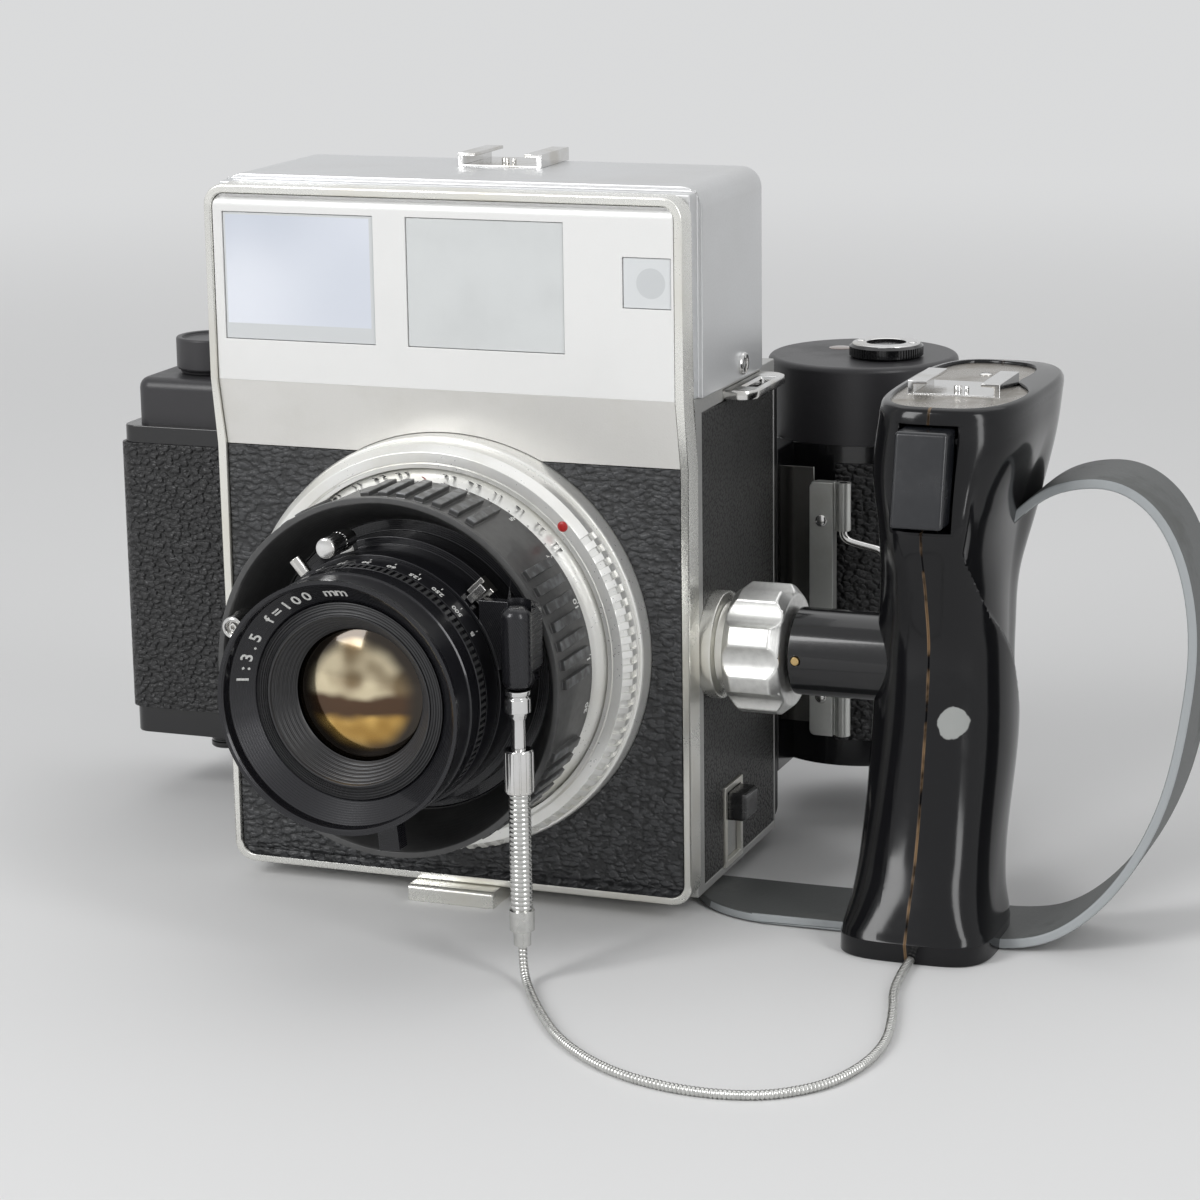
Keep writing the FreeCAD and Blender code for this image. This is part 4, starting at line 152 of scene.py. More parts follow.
# %% One output as a number
class Wire:
    """One output of a node inside a material's tree."""

    def __init__(self, tree, socket):
        self.tree, self.socket = tree, socket

    def maths(self, operation, *others, clamp=False):
        """New Math node; others are wires or numbers."""
        node = self.tree.nodes.new("ShaderNodeMath")
        node.operation = operation
        node.use_clamp = clamp
        for slot, value in zip(node.inputs, (self, *others)):
            if isinstance(value, Wire):
                self.tree.links.new(value.socket, slot)
            else:
                slot.default_value = value
        return Wire(self.tree, node.outputs[0])

    def __add__(self, other):
        return self.maths("ADD", other)

    def __mul__(self, other):
        return self.maths("MULTIPLY", other)

    def __sub__(self, other):
        return self.maths("SUBTRACT", other)

    def __rsub__(self, other):
        return (self * -1) + other

    def above(self, low, high):
        """0 under low, 1 over high, smooth in between."""
        node = self.tree.nodes.new("ShaderNodeMapRange")
        node.interpolation_type = "SMOOTHSTEP"
        node.inputs["From Min"].default_value = low
        node.inputs["From Max"].default_value = high
        self.tree.links.new(self.socket, node.inputs["Value"])
        return Wire(self.tree, node.outputs["Result"])

# %% A finish
# A Mix node lists its sockets for colours after those for numbers and vectors.
MIX_FIRST, MIX_SECOND, MIX_RESULT = 6, 7, 2


class Finish:
    """A material with a Principled shader and short ways to add its nodes."""

    def __init__(self, name, colour, rough, metal=0.0, coat=0.0, **more):
        self.material = bpy.data.materials.new(name)
        self.material.use_nodes = True
        self.tree = self.material.node_tree
        self.shader = self.tree.nodes["Principled BSDF"]
        constants = {"Base_Color": (*colour, 1), "Roughness": rough, "Metallic": metal, "Coat_Weight": coat, **more}
        for socket, value in constants.items():
            self.shader.inputs[socket.replace("_", " ")].default_value = value

    def add(self, kind, settings=(), **inputs):
        """New node: its settings first, then the values or wires of its sockets."""
        node = self.tree.nodes.new(kind)
        for key, value in dict(settings).items():
            setattr(node, key, value)
        for key, value in inputs.items():
            slot = node.inputs[key.replace("_", " ")]
            if isinstance(value, Wire):
                self.tree.links.new(value.socket, slot)
            else:
                slot.default_value = value
        return node

    def out(self, node, name=0):
        """One output of a node as a wire."""
        return Wire(self.tree, node.outputs[name])

    @property
    def place(self):
        """Object coordinates, in metres."""
        return self.out(self.add("ShaderNodeTexCoord"), "Object")

    def xyz(self, where=None):
        """Three coordinates, each a wire of its own."""
        parts = self.add("ShaderNodeSeparateXYZ", Vector=where or self.place)
        return [self.out(parts, index) for index in range(3)]

    def noise(self, scale, detail=3.0, rough=0.5):
        """Cloudy value round a half, with a scale in waves to the metre."""
        return self.out(self.add("ShaderNodeTexNoise", Vector=self.place, Scale=scale, Detail=detail, Roughness=rough))

    def blend(self, mask, first, second):
        """Colour between two, by a mask."""
        node = self.add("ShaderNodeMix", {"data_type": "RGBA"})
        self.tree.links.new(mask.socket, node.inputs[0])
        for slot, value in ((node.inputs[MIX_FIRST], first), (node.inputs[MIX_SECOND], second)):
            if isinstance(value, Wire):
                self.tree.links.new(value.socket, slot)
            else:
                slot.default_value = (*value, 1)
        return self.out(node, MIX_RESULT)

    def feed(self, socket, wire):
        """Wires a value to a socket of the shader."""
        self.tree.links.new(wire.socket, self.shader.inputs[socket])
        return self

    def bump(self, height, relief):
        """Relief is the height of 1, in metres."""
        return self.feed("Normal", self.out(self.add("ShaderNodeBump", Height=height, Distance=relief), "Normal"))

# %% [markdown]
# ## A background without an edge
# Far from the camera the floor should run into a plain pale background. Light Path tells which rays come from the
# viewer, or from a mirror or a glass: those see one even pale tone far out and in the sky, while the light that
# falls on the camera stays as it is. Near the camera the floor is an ordinary pale surface and keeps its shadow.

# %% Floor's tone
PALE, PAPER_TONE, SKY_TONE, SKY_STRENGTH = (0.70, 0.705, 0.71), (0.80, 0.80, 0.80), (0.86, 0.87, 0.88), 0.35
FADE_FROM, FADE_TO = 0.45, 1.5


def distance(first, second):
    """Length of the step with these two parts."""
    return (first * first + second * second).maths("SQRT")


def seen_directly(tree):
    """1 for rays from the viewer, a mirror or a glass."""
    path = tree.nodes.new("ShaderNodeLightPath")
    total = Wire(tree, path.outputs["Is Camera Ray"])
    for kind in ("Is Glossy Ray", "Is Transmission Ray"):
        total = total.maths("ADD", Wire(tree, path.outputs[kind]), clamp=True)
    return total


def plain_light(tree, kind):
    """Emission or background shader of the pale tone."""
    node = tree.nodes.new(kind)
    node.inputs["Color"].default_value = (*PALE, 1)
    node.inputs["Strength"].default_value = 1.0
    return node


def mixed(tree, mask, first, second, output):
    """Mix Shader between two shaders, wired to an output."""
    node = tree.nodes.new("ShaderNodeMixShader")
    tree.links.new(mask.socket, node.inputs[0])
    tree.links.new(first.outputs[0], node.inputs[1])
    tree.links.new(second.outputs[0], node.inputs[2])
    tree.links.new(node.outputs[0], output.inputs["Surface"])


PAPER = Finish("pale_paper", PAPER_TONE, 0.75)
far_out = distance(*PAPER.xyz()[:2]).above(FADE_FROM, FADE_TO)
PAPER.feed("Base Color", PAPER.blend(PAPER.noise(9, 2.0), PAPER_TONE, (0.79, 0.79, 0.79)))
mixed(PAPER.tree, far_out * seen_directly(PAPER.tree), PAPER.shader, plain_light(PAPER.tree, "ShaderNodeEmission"),
      PAPER.tree.nodes["Material Output"])
floor_mesh.materials.append(PAPER.material)
print("floor fades from", FADE_FROM, "to", FADE_TO, "m")

# %% Sky
world = bpy.data.worlds.new("studio")
bpy.context.scene.world = world
world.use_nodes = True
sky = world.node_tree
dim = sky.nodes["Background"]
dim.inputs["Color"].default_value = (*SKY_TONE, 1)
dim.inputs["Strength"].default_value = SKY_STRENGTH
mixed(sky, seen_directly(sky), dim, plain_light(sky, "ShaderNodeBackground"), sky.nodes["World Output"])
print("sky:", len(sky.nodes), "nodes")

# %% [markdown]
# ## The cable release's route
# A thin coiled steel cable leaves the stiff sleeve under the shutter, bends forward and lies on the table in one wide
# loop, and its end goes into the notch in the foot of the grip. The route is a smooth NURBS line through space; the
# wound wire of the cable is swept along points read from that line. The cable's two ends are on two bodies; it rides on
# neither and stays where it is laid.

# %% Cable line
CABLE_FROM = Vector((36.4, -73, 0))
CABLE_STEPS = ((0, 0, 8.7), (0, 0, 5.2), (1.5, -2.6, 2.0), (5.1, -8.6, 1.1), (11.9, -20.0, 1.1), (22.1, -34.5, 1.1),
               (36.6, -46.8, 1.1), (51.6, -52.4, 1.1), (65.6, -52.6, 1.1), (76.0, -48.5, 1.1), (84.9, -37.8, 1.1),
               (88.5, -17.5, 1.1), (84.6, 3.0, 1.1), (79.2, 21.5, 1.1), (78.6, 40.0, 1.1))
CABLE_RADIUS = 1.05 * MM


def smooth_line(points):
    """Points along a NURBS line with these control points, and the line's length."""
    curve = bpy.data.curves.new("line", "CURVE")
    curve.dimensions, curve.resolution_u = "3D", 24
    spline = curve.splines.new("NURBS")
    spline.points.add(len(points) - 1)
    for spot, point in zip(spline.points, points):
        spot.co = (*point, 1)
    spline.order_u = 3
    spline.use_endpoint_u = True
    holder = bpy.data.objects.new("line", curve)
    line = bpy.data.meshes.new_from_object(holder)
    places = [vert.co.copy() for vert in line.vertices]
    bpy.data.objects.remove(holder)
    bpy.data.meshes.remove(line)
    return places, sum((after - before).length for before, after in zip(places, places[1:]))


cable_line, cable_length = smooth_line([(CABLE_FROM + Vector(step)) * MM for step in CABLE_STEPS])
print(f"cable: {cable_length * 1000:.1f} mm along {len(cable_line)} points")

# %% [markdown]
# ## Sweeping a section along a line
# The cable and the wire handle of the dark slide are both one cross-section carried along a line. A small list of
# frames, each turned as little as possible from the one before, keeps the section from twisting on the way.

# %% Frames along a line
def even_points(points, step):
    """The same line cut into equal steps."""
    lengths = [0.0]
    for before, after in zip(points, points[1:]):
        lengths.append(lengths[-1] + (after - before).length)
    count = max(2, round(lengths[-1] / step))
    result, index = [], 0
    for number in range(count + 1):
        wanted = lengths[-1] * number / count
        while index < len(points) - 2 and lengths[index + 1] < wanted:
            index += 1
        share = (wanted - lengths[index]) / (lengths[index + 1] - lengths[index])
        result.append(points[index].lerp(points[index + 1], share))
    return result


def frames_along(points, side):
    """Matrix at each point whose Z axis runs along the line."""
    result = []
    for index, point in enumerate(points):
        ahead = (points[min(index + 1, len(points) - 1)] - points[max(index - 1, 0)]).normalized()
        side = (side - ahead * side.dot(ahead)).normalized()
        turn = Matrix((side, ahead.cross(side), ahead)).transposed().to_4x4()
        result.append(Matrix.Translation(point) @ turn)
    return result


print("half-millimetre steps along the cable:", len(even_points(cable_line, 0.5 * MM)))

# %% [markdown]
# ## Paints and bare metals
# The front is satin silver-white paint, the sheet housing a greyer satin coat, and the frame round the front bare
# aluminium that has been handled for decades: its gloss changes in patches and it yellows a little. Each finish
# starts from one Principled shader and gets its small unevenness from noise in real millimetres.

# %% Silver and white finishes
def speckled(name, colour, darker, rough, metal, grain, depth, coat=0.0, patches=25.0):
    """Metal or paint with a fine grain, and patches where the gloss and the tone change."""
    finish = Finish(name, colour, rough, metal, coat)
    fine = finish.noise(grain, 2.0)
    broad = finish.noise(patches, 4.0).above(0.45, 0.75)
    finish.feed("Base Color", finish.blend(broad * 0.8 + fine * 0.35, colour, darker))
    finish.feed("Roughness", fine * 0.14 + broad * 0.10 + (rough - 0.10))
    return finish.bump(fine, depth)


WHITE_PAINT = speckled("satin_white_paint", (0.83, 0.83, 0.82), (0.78, 0.78, 0.77), 0.40, 0.1, 2600, 0.00002, 0.15)
PLATE = speckled("grained_plate", (0.74, 0.73, 0.705), (0.70, 0.69, 0.66), 0.46, 0.3, 2400, 0.00004, patches=90)
TRIM = speckled("handled_aluminium", (0.84, 0.84, 0.81), (0.74, 0.72, 0.65), 0.30, 0.85, 2200, 0.000003, patches=30)
HOUSING = speckled("satin_housing", (0.70, 0.71, 0.72), (0.60, 0.60, 0.60), 0.36, 0.65, 1800, 0.000012, patches=14)
PEARL = speckled("pearl_ring", (0.90, 0.90, 0.88), (0.80, 0.79, 0.74), 0.33, 0.60, 1600, 0.000008, 0.25, patches=55)
SLIDE_SHEET = speckled("polished_slide_sheet", (0.20, 0.195, 0.185), (0.15, 0.145, 0.135), 0.22, 1.0, 900, 0.000003,
                       patches=40)
SATIN_STEEL = speckled("satin_slide", (0.64, 0.65, 0.63), (0.52, 0.52, 0.49), 0.38, 0.75, 1100, 0.00001, patches=70)
CHROME = speckled("polished_chrome", (0.74, 0.74, 0.74), (0.60, 0.58, 0.54), 0.17, 1.0, 800, 0.000004, patches=90)
BRASS = speckled("turned_brass", (0.60, 0.43, 0.20), (0.38, 0.26, 0.11), 0.32, 1.0, 1300, 0.00001, patches=200)
# Grey steel with darker brown patches that are a painted reflection.
TOP_PLATE_FINISH = speckled("top_plate_painted_reflection", (0.42, 0.40, 0.37), (0.24, 0.21, 0.17), 0.30, 0.9, 1200, 0.00001, patches=110)
CASTING = speckled("bare_casting", (0.50, 0.50, 0.49), (0.38, 0.38, 0.37), 0.55, 0.8, 1500, 0.00006)
print("finishes so far:", len(bpy.data.materials))

# %% [markdown]
# ## Machined faces
# A turned part carries very fine rings left by the cutting tool. Rings about an axis are a wave of the distance from
# that axis, so the pattern can be written as one short expression, and it stays on the part as it turns.

# %% Turned metal
WORN_GREY = (0.26, 0.27, 0.28)


def shade(colour, factor):
    """A colour made darker or lighter."""
    return tuple(value * factor for value in colour)


def turned_metal(name, colour, rough, metal, centre, axis, pitch=0.00045, depth=0.000006, coat=0.0, rubbed=None):
    """Tool rings about an axis through a point; rubbed gives the radii between which the black wears to grey."""
    finish = Finish(name, colour, rough, metal, coat)
    moved = finish.out(finish.add("ShaderNodeVectorMath", {"operation": "SUBTRACT"}, Vector=finish.place))
    moved.socket.node.inputs[1].default_value = centre
    radius = distance(*(wire for index, wire in enumerate(finish.xyz(moved)) if index != axis))
    rings = (radius * (2 * math.pi / pitch)).maths("SINE") * 0.5 + 0.5
    grain = finish.noise(500, 3.0)
    finish.feed("Roughness", rings * 0.10 + grain * 0.10 + (rough - 0.08))
    tone = finish.blend(grain.above(0.35, 0.8), colour, shade(colour, 0.86))
    if rubbed:
        worn = radius.above(*rubbed) * finish.noise(380, 4.0).above(0.40, 0.70)
        tone = finish.blend(worn * 0.6, tone, WORN_GREY)
    finish.feed("Base Color", tone)
    return finish.bump(rings * 0.7 + grain * 0.3, depth)


LENS_CENTRE = Vector((0, -24, 64)) * MM
KNOB_METAL = turned_metal("turned_knob", (0.80, 0.80, 0.78), 0.38, 1.0, (0.071, -0.004, 0.0627), 0)
LENS_BLACK = turned_metal("black_anodised", (0.014, 0.014, 0.017), 0.27, 0.4, LENS_CENTRE, 1, coat=0.3)
LENS_MATTE = turned_metal("black_baffle", (0.045, 0.045, 0.047), 0.36, 0.3, LENS_CENTRE, 1, 0.00062, 0.00009)
# Lighter grey for the tops of the aperture ring's teeth: a painted highlight.
RIB_HIGHLIGHT = turned_metal("rib_tops_painted_highlight", (0.095, 0.095, 0.096), 0.30, 0.5, LENS_CENTRE, 1)
DISH_BLACK = turned_metal("dish_black", (0.095, 0.095, 0.095), 0.38, 0.5, LENS_CENTRE, 1, depth=0.000012, coat=0.15,
                          rubbed=(0.0419, 0.04235))
print("finishes so far:", len(bpy.data.materials))

# %% [markdown]
# ## Leatherette
# The body is covered with black leatherette. Its skin is a row of soft pebbles, wider than they are tall, with
# creases between them that wander and run a little downhill on the film holder. Smooth cells give the round tops,
# noise pulls them out of line, and a Mapping node makes them wide and turns them. The sides have a finer grain.

# %% Pebbled leather
def leather(name, pebble, relief, colour=(0.021, 0.021, 0.022), rough=0.46, warp=0.55, wide=1.6, slant=0.0):
    """Pebbles of a given height, in metres, with creases between them."""
    finish = Finish(name, colour, rough, 0.0, 0.05)
    turned_place = finish.add("ShaderNodeMapping", Vector=finish.place, Rotation=(0, slant, 0),
                              Scale=(1 / wide, 1 / wide, 1))
    wander = finish.add("ShaderNodeTexNoise", Vector=finish.place, Scale=0.55 / pebble, Detail=2.0)
    spread = finish.add("ShaderNodeVectorMath", {"operation": "SCALE"}, Vector=finish.out(wander, "Color"),
                        Scale=pebble * warp)
    moved = finish.add("ShaderNodeVectorMath", {"operation": "ADD"}, Vector=finish.out(turned_place))
    finish.tree.links.new(spread.outputs[0], moved.inputs[1])
    pebbles = finish.add("ShaderNodeTexVoronoi", {"feature": "SMOOTH_F1"}, Vector=finish.out(moved),
                         Scale=1 / pebble, Smoothness=0.35, Randomness=0.85)
    pillow = 1 - finish.out(pebbles, "Distance").above(0.30, 0.80)
    fine = finish.noise(1.9 / pebble, 3.0)
    height = pillow * 0.85 + fine * 0.30
    # Painted shade and highlight: the creases between the pebbles are darkened and the pebble tops lightened, by their
    # height.
    finish.feed("Base Color", finish.blend(height.above(0.15, 1.0), shade(colour, 0.6), shade(colour, 1.25)))
    finish.feed("Roughness", rough + 0.10 - pillow * 0.16 + fine * 0.08)
    return finish.bump(height, relief)


FRONT_LEATHER = leather("front_leatherette", 0.00115, 0.00060, (0.034, 0.035, 0.037), 0.42, 0.9, 1.8)
HOLDER_LEATHER = leather("holder_leatherette", 0.00120, 0.00085, (0.020, 0.020, 0.021), 0.34, 0.9, 1.5, -0.30)
SIDE_LEATHER = leather("side_leatherette", 0.0007, 0.00014, (0.018, 0.018, 0.017), 0.44)
print("finishes so far:", len(bpy.data.materials))

# %% [markdown]
# ## Black mouldings and rubber
# The grip is glossy moulded plastic, worn a little dull where the hand rubs it. The caps of the film holder are a
# duller moulding, its frame a satin painted casting, and the wrist strap a grey rubber that has gone dusty.

# %% Blacks and rubber
def moulding(name, colour, rough, grain, depth, coat=0.0, scuffs=0.12, metal=0.0, dust=(0.10, 0.10, 0.10)):
    """Moulded or painted surface with a fine texture, scuffs and a trace of dust."""
    finish = Finish(name, colour, rough, metal, coat)
    fine = finish.noise(grain, 2.0)
    rubbed = finish.noise(30, 5.0, rough=0.65).above(0.52, 0.80)
    finish.feed("Base Color", finish.blend(rubbed * scuffs, colour, dust))
    finish.feed("Roughness", rubbed * scuffs * 1.6 + fine * 0.08 + (rough - 0.04))
    return finish.bump(fine, depth)


GRIP_BLACK = moulding("glossy_grip", (0.005, 0.005, 0.006), 0.13, 350, 0.000005, 0.0, 0.04)
GRIP_BLACK.shader.inputs["IOR"].default_value = 1.40
TRIGGER_BLACK = moulding("satin_trigger", (0.012, 0.013, 0.016), 0.22, 900, 0.000006, 0.2, 0.08)
HOLDER_PAINT = moulding("glossy_case_paint", (0.008, 0.008, 0.009), 0.20, 900, 0.000008, 0.3, 0.10)
CAP_BLACK = moulding("satin_cap_moulding", (0.034, 0.033, 0.036), 0.38, 2600, 0.000025, 0.0, 0.10)
COUNTER_GLASS = moulding("brown_counter_glass", (0.16, 0.075, 0.04), 0.12, 300, 0.000004, 0.6, 0.05)
MATTE_BLACK = moulding("dull_moulding", (0.020, 0.020, 0.021), 0.46, 3000, 0.00002)
BLACK_PAINT = moulding("satin_black_paint", (0.017, 0.017, 0.018), 0.42, 1700, 0.00003, metal=0.2)
BLACK_METAL = moulding("black_tube", (0.006, 0.006, 0.007), 0.15, 1200, 0.000004, 0.3, 0.06, 0.1)
RUBBER = moulding("grey_rubber", (0.100, 0.105, 0.104), 0.50, 1500, 0.00004, 0.0, 0.45, dust=(0.20, 0.20, 0.185))
RUBBER_EDGE = moulding("pale_rubber_edge", (0.34, 0.36, 0.37), 0.42, 1500, 0.00003, 0.0, 0.5, dust=(0.20, 0.21, 0.22))
BLADES = moulding("blued_blades", (0.030, 0.030, 0.036), 0.35, 900, 0.000004, metal=0.8)
print("finishes so far:", len(bpy.data.materials))

# %% [markdown]
# ## Wear on the grip
# Two marks belong to the grip alone: brown dirt in the line where its halves meet, and a bare grey spot where the
# gloss has flaked off beside it. Both are masks of real distances, so they stay on the moulding.

# %% Grip wear
GRIP_X = 114.0
FLAKE = Vector((119.9, -17, 52.3)) * MM
east, north, height = GRIP_BLACK.xyz()
beside = (east - GRIP_X * MM).maths("ABSOLUTE")
line = (1 - beside.above(0.00022, 0.00042)) * GRIP_BLACK.noise(140, 3.0).above(0.38, 0.62)
ragged = GRIP_BLACK.noise(230, 3.0) * 0.0022
flake = 1 - (distance(east - FLAKE.x, (height - FLAKE.z) * 0.92) + ragged).above(0.0042, 0.0045)
flake = flake * (1 - north.above(-0.004, -0.003))
base = GRIP_BLACK.shader.inputs["Base Color"].links[0].from_socket
marked = GRIP_BLACK.blend(line * 0.75, Wire(GRIP_BLACK.tree, base), (0.30, 0.19, 0.10))
GRIP_BLACK.feed("Base Color", GRIP_BLACK.blend(flake, marked, (0.33, 0.34, 0.33)))
gloss = GRIP_BLACK.shader.inputs["Roughness"].links[0].from_socket
GRIP_BLACK.feed("Roughness", Wire(GRIP_BLACK.tree, gloss) + line * 0.4 + flake * 0.4)
print("grip finish:", len(GRIP_BLACK.tree.nodes), "nodes")

# %% [markdown]
# ## Glass and filled lettering
# The finder windows are frosted from behind and polished in front, so they are pale with a clear glossy coat. The lens
# is coated amber and its front glass itself is clear; the reflections in it are painted into its colour: a pale cream
# and brown upper half, a dark brown band, a golden lower half, and painted shade darkening it towards the rim.

# %% Glass and inks
def window_glass(name, colour):
    """Frosted pane under a clear gloss."""
    finish = Finish(name, colour, 0.5, 0.0, 1.0, Coat_Roughness=0.04)
    cloudy = finish.noise(70, 3.0)
    finish.feed("Base Color", finish.blend(cloudy.above(0.3, 0.8), colour, shade(colour, 0.93)))
    return finish.feed("Roughness", cloudy * 0.2 + 0.4)


PANE = window_glass("finder_pane", (0.66, 0.68, 0.68))
PANE_BRIGHT = window_glass("bright_frame_pane", (0.72, 0.75, 0.80))
PANE_SPOT = window_glass("rangefinder_spot", (0.52, 0.54, 0.55))
CLEAR = Finish("clear_optics", (0.95, 0.96, 0.96), 0.03, Transmission_Weight=1.0, IOR=1.5)
CLEAR.feed("Roughness", CLEAR.noise(120, 2.0) * 0.03 + 0.01)
AMBER = Finish("amber_coating_painted_reflection", (0.50, 0.30, 0.09), 0.06, 0.9, 0.6, Coat_Roughness=0.02)
# The base colour is painted reflection: cream and brown patches above, a dark brown band across the middle, gold below,
# and painted shade darkening the glass towards its rim.
east, north, height = AMBER.xyz()
beside, above = east - LENS_CENTRE.x, height - LENS_CENTRE.z
cloud = AMBER.noise(85, 2.0) * 0.006 - 0.003
high, low = (above + cloud).above(-0.0006, 0.0016), 1 - (above + cloud).above(-0.0052, -0.0032)
pale = AMBER.noise(110, 1.0).above(0.40, 0.68)
upper = AMBER.blend(pale, (0.20, 0.14, 0.07), (0.72, 0.62, 0.42))
lower = AMBER.blend(pale, (0.40, 0.22, 0.04), (0.90, 0.58, 0.17))
glow = AMBER.blend(low, AMBER.blend(high, (0.085, 0.042, 0.018), upper), lower)
shaded = (distance(beside, above) + cloud * 0.5).above(0.0098, 0.0138)
AMBER.feed("Base Color", AMBER.blend(shaded, glow, (0.035, 0.026, 0.018)))
AMBER.feed("Roughness", AMBER.noise(60, 1.0) * 0.08 + 0.08)


def ink(name, colour, rough=0.5):
    """Paint rubbed into engraved lettering, a little uneven."""
    finish = Finish(name, colour, rough)
    worn = finish.noise(1800, 2.0).above(0.35, 0.8)
    return finish.feed("Base Color", finish.blend(worn, colour, shade(colour, 0.75)))


WHITE_INK = ink("white_filling", (0.78, 0.78, 0.76))
BLACK_INK = ink("black_filling", (0.05, 0.05, 0.05))
RED_INK = ink("red_filling", (0.45, 0.02, 0.02), 0.35)
print("finishes:", len(bpy.data.materials))

# %% [markdown]
# ## Two ways to make a piece
# Most pieces here are either turned on a lathe or have flat faces with slightly broken edges. For the first kind a
# profile is spun about an axis. For the second the construction's own mesh is copied, its loose triangles are
# joined, and its sharp edges get a small bevel that catches the light, as a deburred edge does.

# %% Finishing a mesh
BODY_OF = {name: body for body, members in frame["record"]["behaviour"]["bodies"].items() for name in members}


def piece(name, form, finish, node, place=None, angle=32, added=False, slot=None, rides=True):
    """Object from a bmesh, placed, smooth with crisp edges. It stands for a node, or is added to it, and rides on the
    node's body unless told otherwise. Its slot argument is not used."""
    nodes = (node,) if isinstance(node, str) else node
    mesh = bpy.data.meshes.new(name)
    form.to_mesh(mesh)
    form.free()
    if place is not None:
        mesh.transform(place)
    for one in (finish if isinstance(finish, (list, tuple)) else [finish]):
        mesh.materials.append(one.material)
    mesh.shade_smooth()
    mesh.set_sharp_from_angle(angle=math.radians(angle))
    thing = link(name, mesh)
    if rides:
        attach(thing, BODY_OF[nodes[0]])
    if not added:
        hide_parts(*nodes)
    thing.modifiers.new("even_shading", "WEIGHTED_NORMAL").keep_sharp = True
    print(f"{name}: {len(mesh.polygons)} faces")
    return thing


def break_edges(form, width, segments=2, over=30, test=lambda edge: True):
    """Small round bevel on every edge sharper than an angle."""
    sharp = [edge for edge in form.edges
             if edge.is_manifold and edge.calc_face_angle() > math.radians(over) and test(edge)]
    round_off(form, sharp, width, segments)
    return form


def merged_copy(node):
    """The construction's mesh of one node with its triangles joined to whole faces."""
    form = bmesh.new()
    form.from_mesh(NODES[node].data)
    bmesh.ops.remove_doubles(form, verts=form.verts, dist=2e-6)
    bmesh.ops.dissolve_limit(form, angle_limit=math.radians(0.4), verts=form.verts, edges=form.edges)
    return form


def eased(node, finish, width, segments=2, test=lambda edge: True):
    """A node's own shape with its sharp edges broken."""
    return piece(f"{node}_eased", break_edges(merged_copy(node), width, segments, test=test), finish, node)

# %% Lathe
LENS_PLACE = Matrix.Translation(LENS_CENTRE) @ Matrix((X, Z, -Y)).transposed().to_4x4()


def lathe(profile, steps, closed=True):
    """Spins millimetre corners of (radius, distance along the axis) about the local Z axis."""
    form = bmesh.new()
    spots = [form.verts.new((radius * MM, 0, along * MM)) for radius, along in profile]
    edges = [form.edges.new(pair) for pair in zip(spots, spots[1:] + spots[:1] * closed)]
    bmesh.ops.spin(form, geom=spots + edges, axis=Z, cent=(0, 0, 0), angle=2 * math.pi, steps=steps, use_merge=True)
    bmesh.ops.remove_doubles(form, verts=form.verts, dist=1e-6)
    bmesh.ops.recalc_face_normals(form, faces=form.faces)
    return form


def facing(form, test):
    """Faces whose centre passes a test given its radius, height along the axis, angle in degrees, and the face."""
    chosen = []
    for face in form.faces:
        middle = face.calc_center_median()
        turn = math.degrees(math.atan2(middle.y, middle.x)) % 360
        if test(math.hypot(middle.x, middle.y) / MM, middle.z / MM, turn, face):
            chosen.append(face)
    return chosen


def pushed_out(form, faces):
    """Pulls a second skin from a patch of faces, takes the first away, and returns the new vertices to be moved."""
    fresh = new_verts(bmesh.ops.extrude_face_region(form, geom=faces))
    bmesh.ops.delete(form, geom=faces, context="FACES_ONLY")
    return fresh


def raise_faces(form, faces, amount):
    """Lifts each separate patch of faces away from the axis by an amount in millimetres."""
    lifted = pushed_out(form, faces)
    for vert in lifted:
        flat = Vector((vert.co.x, vert.co.y, 0))
        vert.co += flat.normalized() * amount * MM
    return lifted


def merge(target, source):
    """Adds one bmesh's shape to another."""
    carrier = bpy.data.meshes.new("carrier")
    source.to_mesh(carrier)
    source.free()
    target.from_mesh(carrier)
    bpy.data.meshes.remove(carrier)
    return target


print("turned parts of the lens stand along", [round(value) for value in LENS_PLACE.col[2].xyz])

# %% [markdown]
# ## Cable, sleeve and fitting
# The release cable is wound from steel wire. It is made straight, as on the winding machine, as one long lathe
# profile with a small rounded rib for every turn, and then each point is carried to its place along the line.

# %% Ribbed tubes
def ribbed_profile(radius, length, pitch, depth, start=0.0):
    """Outline of a closely wound coil: one rounded rib per turn."""
    turns = round(length / pitch)
    pitch = length / turns
    corners = []
    for turn in range(turns):
        low = start + turn * pitch
        corners += [(radius - depth, low), (radius - 0.25 * depth, low + 0.22 * pitch), (radius, low + 0.5 * pitch),
                    (radius - 0.25 * depth, low + 0.78 * pitch)]
    return corners + [(radius - depth, start + length)]


def carried(form, line, length, step, side):
    """Bends a straight shape, which lies along Z from 0 to length, along a line."""
    frames = frames_along(even_points(line, step * MM), side)
    for vert in form.verts:
        share = min(max(vert.co.z / length, 0), 1) * (len(frames) - 1)
        first = min(int(share), len(frames) - 2)
        beyond = vert.co.z - min(max(vert.co.z, 0), length)
        flat = Vector((vert.co.x, vert.co.y, beyond))
        vert.co = (frames[first] @ flat).lerp(frames[first + 1] @ flat, share - first)
    return form


RIB = 0.2
tube = lathe([(0, 0)] + ribbed_profile(CABLE_RADIUS / MM, cable_length / MM, 0.95, RIB) + [(0, cable_length / MM)],
             10, closed=False)
COIL = turned_metal("wound_steel", (0.62, 0.62, 0.60), 0.24, 1.0, (0, 0, 0), 2, pitch=0.004)
cable = piece("thin_cable", carried(tube, cable_line, cable_length, 0.5, X), COIL, "release_cable", angle=60,
              rides=False)
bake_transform(cable)

